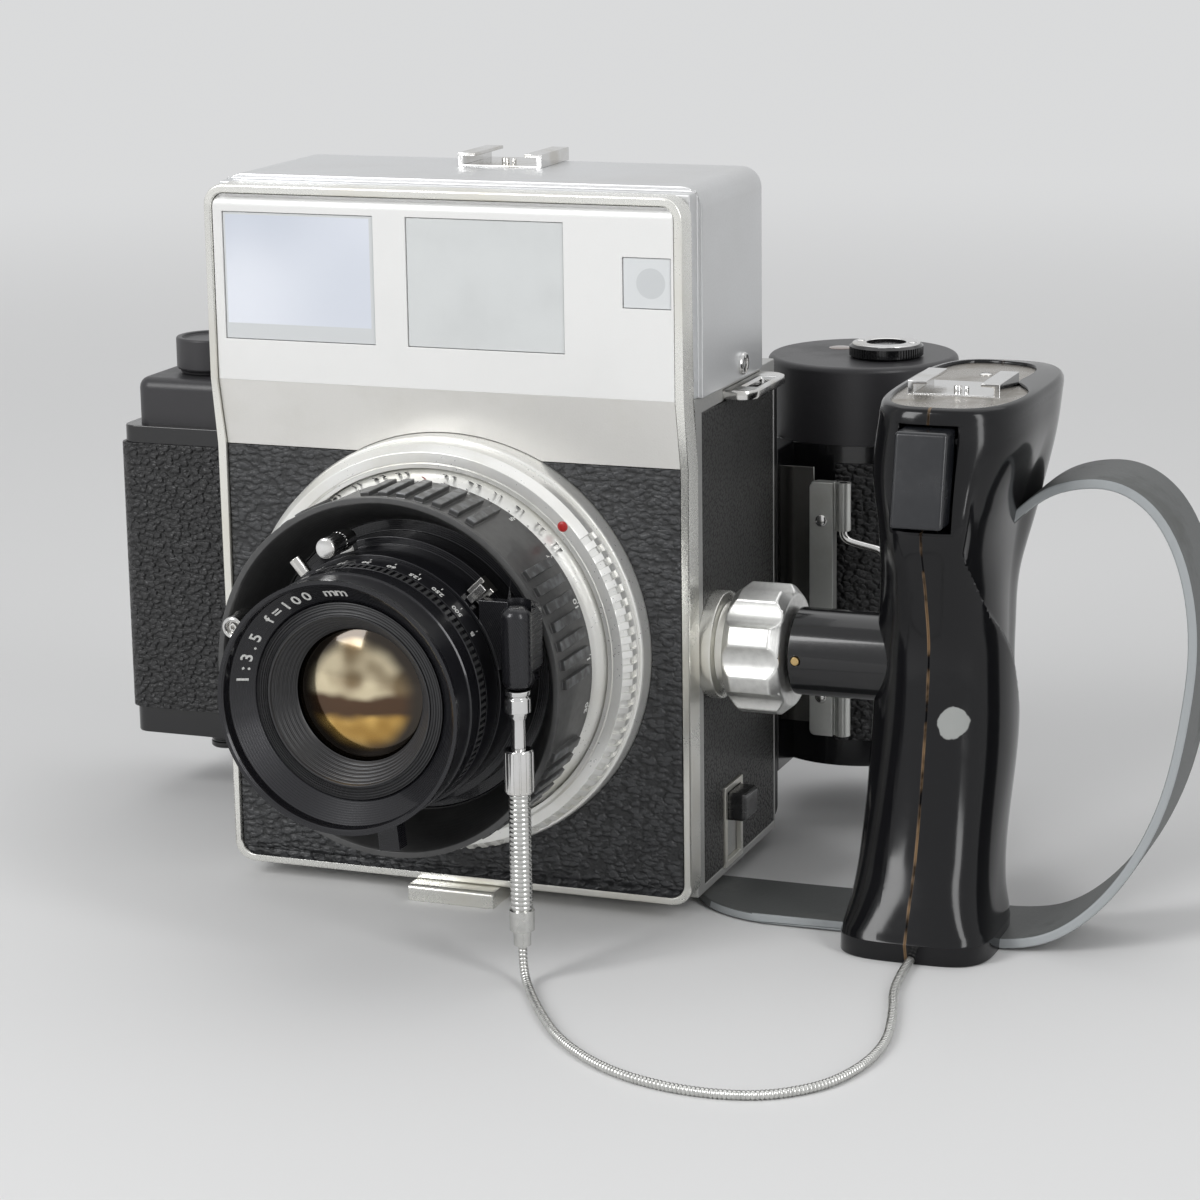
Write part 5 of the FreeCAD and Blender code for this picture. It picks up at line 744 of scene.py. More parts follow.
# %% Sleeve and ferrule
CABLE_PLACE = Matrix.Translation(CABLE_FROM * MM)
sleeve = lathe([(1.0, 8.7), (1.95, 8.7), (1.95, 12.2), (2.8, 12.2), (2.8, 16.9), (2.3, 17.0)]
               + ribbed_profile(2.5, 26.9, 1.08, RIB, 17.05) + [(1.0, 44.0)], 28)
piece("coil_sleeve", break_edges(sleeve, 0.08, over=50), COIL, "cable_sleeve", CABLE_PLACE, 50)

# %% Nipple and knurled nut
def sink_each(form, faces, depth, thickness):
    """Pushes each face in by itself and leaves a thin border round it."""
    bmesh.ops.inset_individual(form, faces=faces, thickness=thickness * MM, depth=-depth * MM)


nipple = lathe([(1.0, 44.0), (3.15, 44.0), (3.3, 44.4), (3.3, 53.4), (3.0, 53.9), (1.6, 53.9), (1.6, 60.6), (2.0, 61.2),
                (2.0, 62.3), (2.9, 62.4), (2.9, 65.4), (2.5, 65.7), (2.5, 66.1), (2.9, 66.4), (2.9, 67.3), (1.0, 67.4)],
               48)
grooves = facing(nipple, lambda radius, along, turn, face: 44.4 < along < 53.4 and radius > 3.2
                 and int(turn / 7.5) % 3 == 0)
sink_each(nipple, grooves, 0.22, 0.06)
piece("release_nipple", break_edges(nipple, 0.05, 1, 50), CHROME, "release_fitting", CABLE_PLACE, 40,
      slot="coil_steel")

# %% [markdown]
# ## Lettering
# The dials carry engraved numbers filled with paint. Each number is a piece of text made into a thin solid, a few
# hundredths of a millimetre proud, and set on its ring at an angle. All the numbers of one ring are one object.

# %% Numbers on rings
def written(text, height):
    """Thin mesh of some text, centred, in the XY plane; height in millimetres."""
    curve = bpy.data.curves.new("text", "FONT")
    curve.body = text
    curve.align_x = curve.align_y = "CENTER"
    curve.size = height * MM * 1.4
    curve.extrude = 0.03 * MM
    curve.offset = 0.025 * height * MM
    curve.resolution_u = 3
    holder = bpy.data.objects.new("text", curve)
    mesh = bpy.data.meshes.new_from_object(holder)
    bpy.data.objects.remove(holder)
    form = bmesh.new()
    form.from_mesh(mesh)
    bpy.data.meshes.remove(mesh)
    bmesh.ops.remove_doubles(form, verts=form.verts, dist=1e-7)
    return form


def dash(width, length):
    """Thin bar in the XY plane, in millimetres."""
    form = bmesh.new()
    bmesh.ops.create_cube(form, size=1.0)
    bmesh.ops.scale(form, vec=Vector((width, length, 0.06)) * MM, verts=form.verts)
    return form


def at(x, y, z):
    """Move to a place given in millimetres."""
    return Matrix.Translation(Vector((x, y, z)) * MM)


def rotated(degrees, axis):
    """Turn about an axis of the shape itself."""
    return Matrix.Rotation(math.radians(degrees), 4, axis)


def on_front(angle, radius, along, tilt=0.0):
    """Place on a face that looks along the lens axis, letters standing away from the axis."""
    return rotated(angle - 90, "Z") @ at(0, radius, along) @ rotated(tilt, "X")


def on_rim(angle, radius, along, cone=0.0):
    """Place on the outside of a ring, letters standing towards the front."""
    turned_up = Matrix((Y, Z, X)).transposed().to_4x4()
    return rotated(angle, "Z") @ at(radius, 0, along) @ rotated(cone, "Y") @ turned_up


def lettering(name, marks, finish, node):
    """One object of many marks on a ring, each a shape with its place."""
    form = bmesh.new()
    for shape, spot in marks:
        bmesh.ops.transform(shape, matrix=spot, verts=shape.verts)
        merge(form, shape)
    return piece(name, form, finish, node, LENS_PLACE, 30, added=True)

# %% [markdown]
# ## The mount's silver rings
# Three pearl-silver rings stand on the front: the fixed flange, the breech lock ring that clamps the lens, and the
# depth scale. The lock ring is smooth at the top, and from its red dot round the right side it has finger notches.
# The notches are pressed in by pushing every second group of faces towards the axis.

# %% Flange and lock ring
flange = lathe([(38.0, -1.6), (49.6, -1.6), (49.6, 3.9), (49.2, 4.7), (43.15, 4.7), (43.15, 7.5), (38.0, 7.5)], 160)
piece("flange_ring", break_edges(flange, 0.15), PEARL, "mount_flange", LENS_PLACE)
lock = lathe([(43.2, 4.8), (48.6, 4.8), (48.6, 6.2), (48.6, 9.0), (48.0, 9.9), (47.0, 11.3), (44.6, 11.3),
              (44.2, 10.9), (43.2, 10.9)], 180)
NOTCHED = (-150, 37)
notches = facing(lock, lambda radius, along, turn, face: radius > 47.3 and along > 6.2
                 and NOTCHED[0] < (turn + 180) % 360 - 180 < NOTCHED[1] and int(turn / 2) % 2 == 0)
for vert in raise_faces(lock, notches, -0.75):
    vert.co.z -= 0.25 * MM
piece("lock_ring_notched", break_edges(lock, 0.12, over=35), PEARL, "lock_ring", LENS_PLACE)

# %% Red dot
def beside_axis(angle, radius, along=0.0):
    """Place at an angle and a radius round the lens axis, facing along it."""
    turn = math.radians(angle)
    return LENS_PLACE @ at(radius * math.cos(turn), radius * math.sin(turn), along)


dot = bmesh.new()
bmesh.ops.create_uvsphere(dot, u_segments=20, v_segments=12, radius=1.25 * MM)
bmesh.ops.scale(dot, vec=(1, 1, 0.35), verts=dot.verts)
piece("lock_ring_dot", dot, RED_INK, "lock_ring", beside_axis(44, 45.6, 11.3), added=True)

# %% Depth scale
depth = lathe([(34.0, -6.0), (37.9, -6.0), (37.9, 7.6), (42.9, 7.6), (42.9, 10.0), (40.0, 15.6), (37.9, 15.6),
               (37.9, 22.0), (34.0, 22.0)], 160)
piece("depth_ring", break_edges(depth, 0.12), PEARL, "depth_scale_ring", LENS_PLACE)
CONE = math.degrees(math.atan2(42.9 - 40.0, 15.6 - 10.0))
STOPS = ("32", "22", "16", "11", "5.6", "3.5")
marks = []
for number, stop in enumerate(STOPS):
    aside = 50 - 8.4 * number
    for side in (-1, 1):
        number_form = written(stop, 2.0)
        bmesh.ops.scale(number_form, vec=(1.1, 1.45, 1), verts=number_form.verts)
        marks.append((number_form, on_rim(90 + side * aside, 42.02, 11.85, CONE)))
        marks.append((dash(0.22, 1.9), on_rim(90 + side * aside * 0.93, 40.85, 14.1, CONE)))
lettering("depth_numbers", marks, BLACK_INK, "depth_scale_ring")
lettering("depth_index", [(dash(0.5, 3.4), on_rim(90, 41.2, 13.4, CONE))], RED_INK, "depth_scale_ring")

# %% [markdown]
# ## Focus ring
# The black focus ring is a deep dish with ribs in groups of seven round its rim, and bare bands between the groups.
# A full turn would hold sixty ribs, so the ring is turned in 120 steps and every second face is lifted.

# %% Focus ring
def scale_marks(texts, height, stroke, first, step, radius, text_at, stroke_at):
    """Numbers round a rim, each with a stroke; stroke is (width, length) and the rest angles and millimetres."""
    angles = [first - step * number for number in range(len(texts))]
    return ([(written(text, height), on_rim(angle, radius, text_at)) for angle, text in zip(angles, texts)]
            + [(dash(*stroke), on_rim(angle, radius, stroke_at)) for angle in angles])


focus = lathe([(37.95, 15.7), (41.2, 15.7), (41.2, 19.4), (41.2, 34.6), (41.2, 36.5), (41.9, 37.0), (41.9, 38.5),
               (40.6, 38.5), (40.0, 37.9), (38.4, 35.0), (36.0, 27.5), (34.3, 24.5), (34.0, 24.5), (34.0, 22.1),
               (37.95, 22.1)], 120)
ribs = facing(focus, lambda radius, along, turn, face: radius > 41.0 and 19.4 < along < 34.6
              and int(turn / 3) % 2 == 0 and int(turn / 6) % 10 < 7)
raise_faces(focus, ribs, 1.25)
piece("focus_ring_ribbed", break_edges(focus, 0.18, over=35), DISH_BLACK, "focus_ring", LENS_PLACE, 28)
DISTANCES = ("3.5", "4", "5", "7", "10", "15", "30")
marks = scale_marks(DISTANCES, 1.9, (0.25, 1.0), 90, 17, 41.22, 17.6, 16.2)
lettering("distance_numbers", marks, WHITE_INK, "focus_ring")

# %% [markdown]
# ## Shutter
# Behind the front cell sit the shutter case and its two setting rings. The aperture ring has fine teeth all round,
# the speed ring carries its scale and a tab at the bottom, and small bright levers stand out between the rings.

# %% Shutter case and rings
def paint(form, test):
    """Gives the faces whose centre passes a test the second finish, and the rest the first."""
    for face in form.faces:
        face.material_index = int(test(face, face.calc_center_median() / MM))
    return form


barrel = merged_copy("lens_barrel")
break_edges(barrel, 2.3, 6, over=60, test=lambda edge: all(
    vert.co.x > 31 * MM and -82 * MM < vert.co.y < -62 * MM and vert.co.z > 66 * MM for vert in edge.verts))
piece("shutter_case", break_edges(barrel, 0.22, 2, over=35), LENS_BLACK, "lens_barrel")
TEETH = 113
aperture = lathe([(27.05, 48.5), (28.4, 48.5), (28.8, 48.8), (28.8, 51.7), (28.4, 52.0), (27.05, 52.0)], 2 * TEETH)
gaps = facing(aperture, lambda radius, along, turn, face: radius > 28.7 and int(turn / (180 / TEETH)) % 2 == 0)
raise_faces(aperture, gaps, -0.7)
# The teeth tops take the lighter grey, a painted highlight.
paint(aperture, lambda face, spot: spot.xy.length > 28.65)
piece("aperture_ring_toothed", aperture, (LENS_BLACK, RIB_HIGHLIGHT), "aperture_ring", LENS_PLACE, 30)
eased("speed_ring", LENS_BLACK, 0.2)
SPEEDS = ("1", "2", "4", "8", "15", "30", "60", "125", "250", "500", "B")
marks = scale_marks(SPEEDS, 1.5, (0.2, 0.9), 150, 12, 28.92, 46.6, 44.2)
lettering("speed_numbers", marks, WHITE_INK, "speed_ring")

# %% Levers and flash socket
eased("cocking_lever", CHROME, 0.2)
knob = lathe([(0.0, 38.6), (2.42, 38.6), (2.42, 41.2), (2.3, 41.4), (2.3, 41.6), (2.42, 41.8), (2.42, 48.1),
              (2.0, 48.6), (0.0, 48.6)], 40, closed=False)
flutes = facing(knob, lambda radius, along, turn, face: radius > 2.35 and 41.9 < along < 48 and int(turn / 9) % 2 == 0)
sink_each(knob, flutes, 0.12, 0.03)
piece("cocking_knob", break_edges(knob, 0.08, over=50), CHROME, "cocking_lever", beside_axis(106, 33.0), added=True)
eased("release_lever", CHROME, 0.2)
eased("flash_selector", CHROME, 0.12)
socket = lathe([(0.0, 45.4), (0.5, 45.4), (0.5, 46.8), (0.9, 46.8), (0.9, 45.2), (1.7, 45.2), (1.7, 47.1), (2.1, 47.3),
                (2.5, 47.0), (2.5, 42.4), (2.9, 41.6), (2.9, 39.1), (0.0, 39.1)], 36, closed=False)
piece("flash_socket", break_edges(socket, 0.06, over=40), CHROME, "sync_socket", beside_axis(161, 35.5))

# %% [markdown]
# ## Front cell and glass
# The front of the lens has a threaded filter mount, a sloping ring with the focal length, and a baffle of fine black
# ridges that swallows stray light. The ridges are real steps in the turned profile, because light runs along them.

# %% Front cell
def ridged(start, end, count, depth):
    """Zigzag between two corners of a profile, leaning towards the axis."""
    corners = []
    for number in range(count):
        share = number / count
        radius, along = (start[axis] + (end[axis] - start[axis]) * share for axis in (0, 1))
        corners += [(radius, along), (radius - depth * 0.2, along - depth)]
    return corners + [end]


profile = ([(21.9, 50.0), (21.9, 52.1), (28.75, 52.1), (28.75, 56.6), (28.45, 56.9), (28.45, 63.2), (28.75, 63.6),
            (28.75, 64.9), (27.9, 64.9), (27.5, 64.5)] + ridged((27.5, 64.4), (27.3, 61.9), 4, 0.3)
           + [(22.5, 57.6)] + ridged((22.4, 58.2), (19.6, 57.9), 6, 0.25) + [(19.5, 58.3), (19.2, 58.3)]
           + ridged((19.0, 58.0), (15.6, 52.9), 15, 0.2) + [(15.2, 52.4), (16.4, 51.4), (17.5, 50.4), (17.5, 48.5),
                                                           (19.5, 48.5), (19.5, 50.0)])
cell = paint(lathe(profile, 160), lambda face, spot: 15.3 < spot.xy.length < 22.4 and spot.z > 52.6)
piece("front_cell_ridged", cell, (LENS_BLACK, LENS_MATTE), "front_cell", LENS_PLACE, 24)


def around(text, middle, radius, along, height, tilt, pitch):
    """Letters one by one along an arc, read clockwise."""
    first = middle + pitch * (len(text) - 1) / 2
    return [(written(letter, height), on_front(first - pitch * number, radius, along, tilt))
            for number, letter in enumerate(text) if letter != " "]


SLOPE = math.degrees(math.atan2(61.9 - 57.6, 27.3 - 22.5))
marks = around("1:3.5", 160, 25.0, 59.9, 2.8, SLOPE, 6.0) + around("f=100 mm", 113, 25.0, 59.9, 2.8, SLOPE, 6.4)
lettering("focal_length", marks, WHITE_INK, "front_cell")

# %% Glasses
def dome(edge_radius, edge, apex, back_face):
    """Solid lens: a spherical front over a rim, and a flat back."""
    rise = apex - edge
    sphere = (edge_radius ** 2 + rise ** 2) / (2 * rise)
    corners = [(0.0, back_face), (edge_radius, back_face), (edge_radius, edge)]
    for number in range(1, 13):
        radius = edge_radius * (1 - number / 12)
        corners.append((radius, edge + math.sqrt(sphere ** 2 - radius ** 2) - (sphere - rise)))
    return lathe(corners, 72, closed=False)


piece("front_glass_dome", dome(17.5, 50.4, 54.6, 48.5), AMBER, "front_glass", LENS_PLACE, 40)
for node, finish in (("rear_glass", AMBER), ("shutter_blades", BLADES)):
    eased(node, finish, 0.1)

# %% [markdown]
# ## Front frame
# The bright frame round the front is pressed from one bar, so its outer and its inner corners are both round. A
# rounded sheet is inset by the width of the bar, its middle is taken out, and the rest is pulled back into a bar.
# Two cuts across it let the upper part lean forward, where the finder starts.

# %% Bright frame
def span(node):
    """Lowest and highest corner of a node, in metres."""
    return tuple(Vector(corner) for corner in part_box(node))


def rounded_sheet(low, high, radius):
    """Flat face in the XZ plane between two corners, with round corners."""
    form = bmesh.new()
    bmesh.ops.create_grid(form, x_segments=1, y_segments=1, size=0.5)
    size = high - low
    flat = Matrix.Translation((low + high) / 2) @ rotated(90, "X")
    bmesh.ops.transform(form, matrix=flat @ Matrix.Diagonal((size.x, size.z, 1, 1)), verts=form.verts)
    round_off(form, form.verts[:], radius, 7, "VERTICES")
    return form


def cut(form, place, normal):
    """Gives a form edges where a plane crosses it."""
    bmesh.ops.bisect_plane(form, geom=form.verts[:] + form.edges[:] + form.faces[:], plane_co=place, plane_no=normal)


KINK_LOW, KINK_HIGH, FRONT, BAR_WIDTH, BAR_DEPTH = 108 * MM, 124 * MM, -24 * MM, 2.0 * MM, 7.0 * MM
trim_low, trim_high = span("front_trim")
lean = FRONT - trim_low.y
bar = rounded_sheet(Vector((trim_low.x, FRONT, trim_low.z)), Vector((trim_high.x, FRONT, trim_high.z)), 5.0)
bmesh.ops.inset_region(bar, faces=bar.faces[:], thickness=BAR_WIDTH, use_even_offset=True, use_boundary=True)
middle = max(bar.faces, key=lambda face: face.calc_area())
bmesh.ops.delete(bar, geom=[middle], context="FACES")
bmesh.ops.translate(bar, vec=Y * BAR_DEPTH, verts=new_verts(bmesh.ops.extrude_face_region(bar, geom=bar.faces[:])))
bmesh.ops.recalc_face_normals(bar, faces=bar.faces)
for height in (KINK_LOW, KINK_HIGH):
    cut(bar, Z * height, Z)
for vert in bar.verts:
    vert.co.y -= lean * min(max((vert.co.z - KINK_LOW) / (KINK_HIGH - KINK_LOW), 0), 1)
piece("front_frame", break_edges(bar, 0.45, 3, over=50), TRIM, "front_trim", angle=40)

# %% [markdown]
# ## Front plates
# Three plates fill the frame: the white finder front with its window openings, the grained plate below it, and the
# leather panel. The construction has them with square corners, so the corners next to the frame are rounded first.

# %% Finder front, plate and leather
def with_round_corners(node, finish, corners, width):
    """A node's shape with two of its four upright corners rounded; corners is 'top' or 'bottom'."""
    low, high = span(node)
    form = merged_copy(node)
    level = high.z if corners == "top" else low.z
    chosen = [edge for edge in form.edges
              if all(abs(abs(vert.co.x) - high.x) < 1e-5 and abs(vert.co.z - level) < 1e-5 for vert in edge.verts)]
    round_off(form, chosen, 2.85, 6)
    return piece(f"{node}_fitted", break_edges(form, width), finish, node)


with_round_corners("front_cover", WHITE_PAINT, "top", 0.12)
with_round_corners("front_leather", FRONT_LEATHER, "bottom", 0.3)
for node, finish, width in (("name_band", PLATE, 0.12), ("body_shell", CASTING, 0.3),
                            ("side_leather", SIDE_LEATHER, 0.3), ("finder_housing", HOUSING, 0.35),
                            ("finder_prism", CLEAR, 0.2), ("eyepiece", MATTE_BLACK, 0.3), ("body_shoe", CHROME, 0.15),
                            ("strap_lugs", CHROME, 0.7), ("base_foot", TRIM, 0.3), ("grip_socket", TRIM, 0.5),
                            ("lock_bezel", TRIM, 0.15), ("lock_button", HOLDER_PAINT, 1.0),
                            ("back_standard", BLACK_PAINT, 0.5)):
    eased(node, finish, width)

# %% [markdown]
# ## Finder windows
# Behind the polished panes lie other surfaces: a bluish frosted screen in the left window, a plain pale screen in
# the finder window, and a round mirror in the small one. They are drawn into the panes' colour with masks that are
# measured in real millimetres from each window's middle.

# %% Window panes
SOFT = 0.12


def middle_of(node):
    """Middle of a node's box, in metres."""
    low, high = span(node)
    return (low + high) / 2


def inside(wire, low, high):
    """1 where a length in millimetres lies between two limits."""
    return wire.above(low - SOFT, low + SOFT) * (1 - wire.above(high - SOFT, high + SOFT))


def across_and_up(finish, node):
    """Distances right of and above a window's middle, in millimetres."""
    middle, (east, north, height) = middle_of(node), finish.xyz()
    return (east - middle.x) * (1 / MM), (height - middle.z) * (1 / MM)


across, above_middle = across_and_up(PANE_BRIGHT, "frame_window")
screen = inside(across, -18.6, 18.2) * inside(above_middle, -11.2, 14.3)
glow = PANE_BRIGHT.noise(28, 1.0).above(0.35, 0.75)
PANE_BRIGHT.feed("Base Color", PANE_BRIGHT.blend(
    screen, (0.62, 0.64, 0.65), PANE_BRIGHT.blend(glow, (0.60, 0.64, 0.72), (0.78, 0.81, 0.88))))
across, above_middle = across_and_up(PANE_SPOT, "range_window")
spot = distance(across - 0.9, above_middle).above(3.35, 3.55)
PANE_SPOT.feed("Base Color", PANE_SPOT.blend(spot, (0.58, 0.60, 0.61), (0.69, 0.71, 0.72)))
for node, finish in (("frame_window", PANE_BRIGHT), ("finder_window", PANE), ("range_window", PANE_SPOT)):
    eased(node, finish, 0.1)

# %% [markdown]
# ## Screws and shoe pins
# Small bright parts give the camera its scale: a ring screw with two slots holds the housing at each side, and the
# accessory shoes have a contact pin. Each is a lathe profile of a few corners, and its slots are pushed-in faces.

# %% Ring screw and pins
def sink(form, faces, depth):
    """Pushes a patch of faces in, straight down, by millimetres."""
    bmesh.ops.inset_region(form, faces=faces, thickness=0.0, depth=-depth * MM)


def slotted_screw(name, place):
    """Ring screw with two slots across its rim; it stands along the local Z axis."""
    form = lathe([(1.3, -0.4), (2.7, -0.4), (2.7, 0.6), (2.4, 1.0), (1.3, 1.0)], 32)
    sink(form, facing(form, lambda radius, along, turn, face: face.normal.z > 0.9 and turn % 180 < 24), 0.5)
    return piece(name, break_edges(form, 0.06, over=40), CHROME, "finder_housing", place, 35, added=True, slot="chrome")


SCREW_DEEP, SCREW_UP = 12.5 * MM, 126.7 * MM
for side, end, turn in (("right", 1, 90), ("left", 0, -90)):
    slotted_screw(f"housing_screw_{side}",
                  Matrix.Translation((span("finder_housing")[end].x, SCREW_DEEP, SCREW_UP)) @ rotated(turn, "Y"))


SHOE_DEPTH, PIN_FORWARD = 2.8 * MM, 5 * MM


def contact_pin(name, node):
    """Two little posts on the floor of an accessory shoe."""
    spot = middle_of(node) - Y * PIN_FORWARD
    spot.z = span(node)[1].z - SHOE_DEPTH
    form = lathe([(0, -0.2), (0.95, -0.2), (0.95, 1.3), (0.8, 1.5), (0, 1.5)], 24, closed=False)
    small = lathe([(0, -0.2), (0.55, -0.2), (0.55, 1.1), (0.4, 1.3), (0, 1.3)], 20, closed=False)
    bmesh.ops.translate(small, vec=Vector((1.9, 0.6, 0)) * MM, verts=small.verts)
    return piece(name, merge(form, small), CHROME, node, Matrix.Translation(spot), 40, added=True)


contact_pin("body_shoe_pin", "body_shoe")

# %% [markdown]
# ## Grip
# The grip is moulded in two halves that meet in a line down its front, and no ring of its outline is a circle. Its
# skin is pulled up level by level from one ring of points: each point keeps its own direction, and a table of rings,
# softly blended in height, says how far the skin reaches that way. This gives one smooth glossy surface, which a
# loft of a few flat bands can't.

# %% Grip rings
# height, reach to the front, half depth, reach to the right, reach to the left, squareness
GRIP_TABLE = ((5.0, 36.5, 18.5, 17.6, 17.6, 4.0), (12.0, 33.3, 19.0, 16.0, 16.7, 3.0),
              (22.0, 28.0, 19.0, 15.3, 16.7, 2.5), (45.0, 21.6, 20.0, 16.1, 16.8, 2.2),
              (68.0, 17.9, 20.0, 15.3, 16.6, 2.2), (82.0, 21.0, 22.0, 15.8, 14.9, 2.4),
              (96.0, 25.5, 30.4, 16.6, 14.2, 3.0), (109.0, 22.5, 31.0, 18.9, 16.5, 3.2),
              (122.6, 20.0, 35.2, 18.7, 16.0, 3.2))
SOLE, SOLE_TOP, TOP = (35.0, 17.5, 17.5, 18.1, 4.0), 5.0, 122.6


def eased_step(value):
    """0 to 1 with soft ends."""
    value = min(max(value, 0.0), 1.0)
    return value * value * (3 - 2 * value)


def blended(table, height):
    """Row of a table at a height, on a smooth curve through its rows."""
    index = max(number for number, row in enumerate(table[:-1]) if number == 0 or row[0] <= height)
    before, low, high, after = (table[min(max(number, 0), len(table) - 1)] for number in range(index - 1, index + 3))
    gap = high[0] - low[0]
    share = min((height - low[0]) / gap, 1.0)
    square, cube = share ** 2, share ** 3
    result = []
    for column in range(1, len(low)):
        slope_low = (high[column] - before[column]) / (high[0] - before[0])
        slope_high = (after[column] - low[column]) / (after[0] - low[0])
        result.append((2 * cube - 3 * square + 1) * low[column] + (cube - 2 * square + share) * gap * slope_low
                      + (3 * square - 2 * cube) * high[column] + (cube - square) * gap * slope_high)
    return result


def ring_point(turn, height, inset=0.0):
    """Point of the grip's outline in a direction; 0 is the front and 90 degrees the right."""
    if height < SOLE_TOP:
        row = [low + (high - low) * height / SOLE_TOP for low, high in zip(SOLE, GRIP_TABLE[0][1:])]
    else:
        row = blended(GRIP_TABLE, min(height, TOP))
    front, deep, right, left, square = row
    across, ahead = math.sin(turn), math.cos(turn)
    reach = (right if across > 0 else left) - inset
    out = (abs(across / reach) ** square + abs(ahead / (deep - inset)) ** square) ** (-1 / square)
    return Vector((GRIP_X + out * across, deep - front - out * ahead, height))


print("front of the grip at half height:", [round(value, 1) for value in ring_point(0.0, TOP / 2)])

# %% Pulling up a skin
def pulled_up(levels, shape, steps=144):
    """Skin from rings of points, each ring extruded from the one below and put in its place."""
    form = bmesh.new()
    turns = form.verts.layers.float.new("turn")
    verts = bmesh.ops.create_circle(form, segments=steps, radius=1.0)["verts"]
    for vert in verts:
        vert[turns] = math.atan2(vert.co.x, -vert.co.y)
    edges = form.edges[:]
    for number, level in enumerate(levels):
        if number:
            verts = new_verts(bmesh.ops.extrude_edge_only(form, edges=edges))
            fresh = set(verts)
            edges = [edge for vert in verts for edge in vert.link_edges if edge.other_vert(vert) in fresh]
            edges = list(dict.fromkeys(edges))
        for vert in verts:
            vert.co = shape(vert[turns], level) * MM
    return form, edges

# %% [markdown]
# ## Thumb rest and rim
# The right side is hollowed where the thumb lies, and the hollow ends in a crease that sweeps down and back from the
# trigger's corner. The crease is a line of height against direction, above which the skin is let in by two or three
# millimetres. On top, the skin rolls over into a rim, wide behind the thumb and narrow elsewhere.

# %% Grip skin
CREASE = ((0, 98.0), (14, 94.0), (30, 84.0), (45, 75.5), (83, 64.0), (100, 55.0), (125, 42.0), (180, 30.0))
HOLLOW_DEPTH, RIM_FROM, RIM_END = 2.6, 1.5, 2.0


def crease_height(degrees):
    """Height of the crease in a direction."""
    for (start, low), (end, high) in zip(CREASE, CREASE[1:]):
        if degrees <= end:
            return low + (high - low) * (degrees - start) / (end - start)
    return CREASE[-1][1]


def rim_width(turn):
    """Width of the rim on top: wide at the back right."""
    return 2.6 + 6.0 * eased_step(1 - abs(math.degrees(turn) % 360 - 125) / 75)


def grip_point(turn, level):
    """Point of the grip's skin; a level is a height with an inset, and insets from RIM_FROM on follow the rim."""
    height, inset = level
    if inset >= RIM_FROM:
        inset = rim_width(turn) - (RIM_END - inset)
    point = ring_point(turn, height, inset)
    degrees = math.degrees(turn) % 360
    if 0 < degrees < 180 and height < 122:
        above = height - crease_height(degrees)
        let_in = eased_step(above / 3.0) * eased_step((118 - height) / 16)
        let_in *= eased_step((degrees - 16) / 12) * eased_step((150 - degrees) / 50)
        point.x -= HOLLOW_DEPTH * let_in
    return point


LEVELS = ([(0.0, 0.3), (0.3, 0.0), (4.6, 0.0), (5.0, 0.05), (5.4, 0.15)]
          + [(6.4 + 0.9 * step, 0.0) for step in range(128)]
          + [(121.9, 0.0), (122.9, 0.15), (123.7, 0.6), (124.1, 1.2), (124.2, 1.6), (124.0, 1.85), (123.6, 2.0),
             (122.8, RIM_END)])
SEAM_HALF, SEAM_DEPTH = 0.28, 0.3
skin = pulled_up(LEVELS, grip_point)[0]
bmesh.ops.recalc_face_normals(skin, faces=skin.faces)
for across in (-SEAM_HALF, 0.0, SEAM_HALF):
    cut(skin, X * (GRIP_X + across) * MM, X)
for vert in skin.verts:
    if abs(vert.co.x / MM - GRIP_X) < 0.02:
        vert.co.y += SEAM_DEPTH * MM * (1 if vert.co.y < 0 else -1)
print("skin pulled up over", len(LEVELS), "rings")

# %% [markdown]
# ## Trigger well
# The trigger sits in a rectangular well in the front of the head. Four cuts give the skin edges along the well's
# outline, the faces inside are pushed straight back, and the rim of the well is rounded so that it catches a line of
# light beside the trigger.

# %% Trigger well
WELL_LEFT, WELL_RIGHT, WELL_LOW, WELL_HIGH, WELL_FLOOR = 107.3, 120.6, 97.4, 120.4, -11.5
for place, normal in ((WELL_LEFT, X), (WELL_RIGHT, X), (WELL_LOW, Z), (WELL_HIGH, Z)):
    cut(skin, normal * place * MM, normal)


def in_well(point, slack, nearest):
    """Whether a point lies in front of the grip within the well's outline."""
    spot = point / MM
    return (WELL_LEFT - slack < spot.x < WELL_RIGHT + slack and WELL_LOW - slack < spot.z < WELL_HIGH + slack
            and spot.y < nearest)


for vert in pushed_out(skin, [face for face in skin.faces if in_well(face.calc_center_median(), 0, 0)]):
    vert.co.y = WELL_FLOOR * MM
bmesh.ops.recalc_face_normals(skin, faces=skin.faces)
break_edges(skin, 0.7, 3, 50, lambda edge: all(in_well(vert.co, 0.1, -13) for vert in edge.verts))
piece("grip_skin", skin, GRIP_BLACK, ("grip_left", "grip_right"), angle=38)

# %% [markdown]
# ## Top plate, arm and trigger
# A steel plate lies inside the rim, held by three screws, and carries an accessory shoe; brown patches painted into its
# grey stand for a reflection. It follows the same outline as the skin, only further in, so it is pulled up from the
# same rings and its last ring is filled. The arm, the clamping knob and the trigger keep the construction's shapes and
# only get rounder edges.

# %% Top plate
def plate_point(turn, level):
    """Point of the plate that lies inside the rim; a level is a height with an inset."""
    height, inset = level
    point = ring_point(turn, TOP, rim_width(turn) + inset)
    point.z = height
    return point


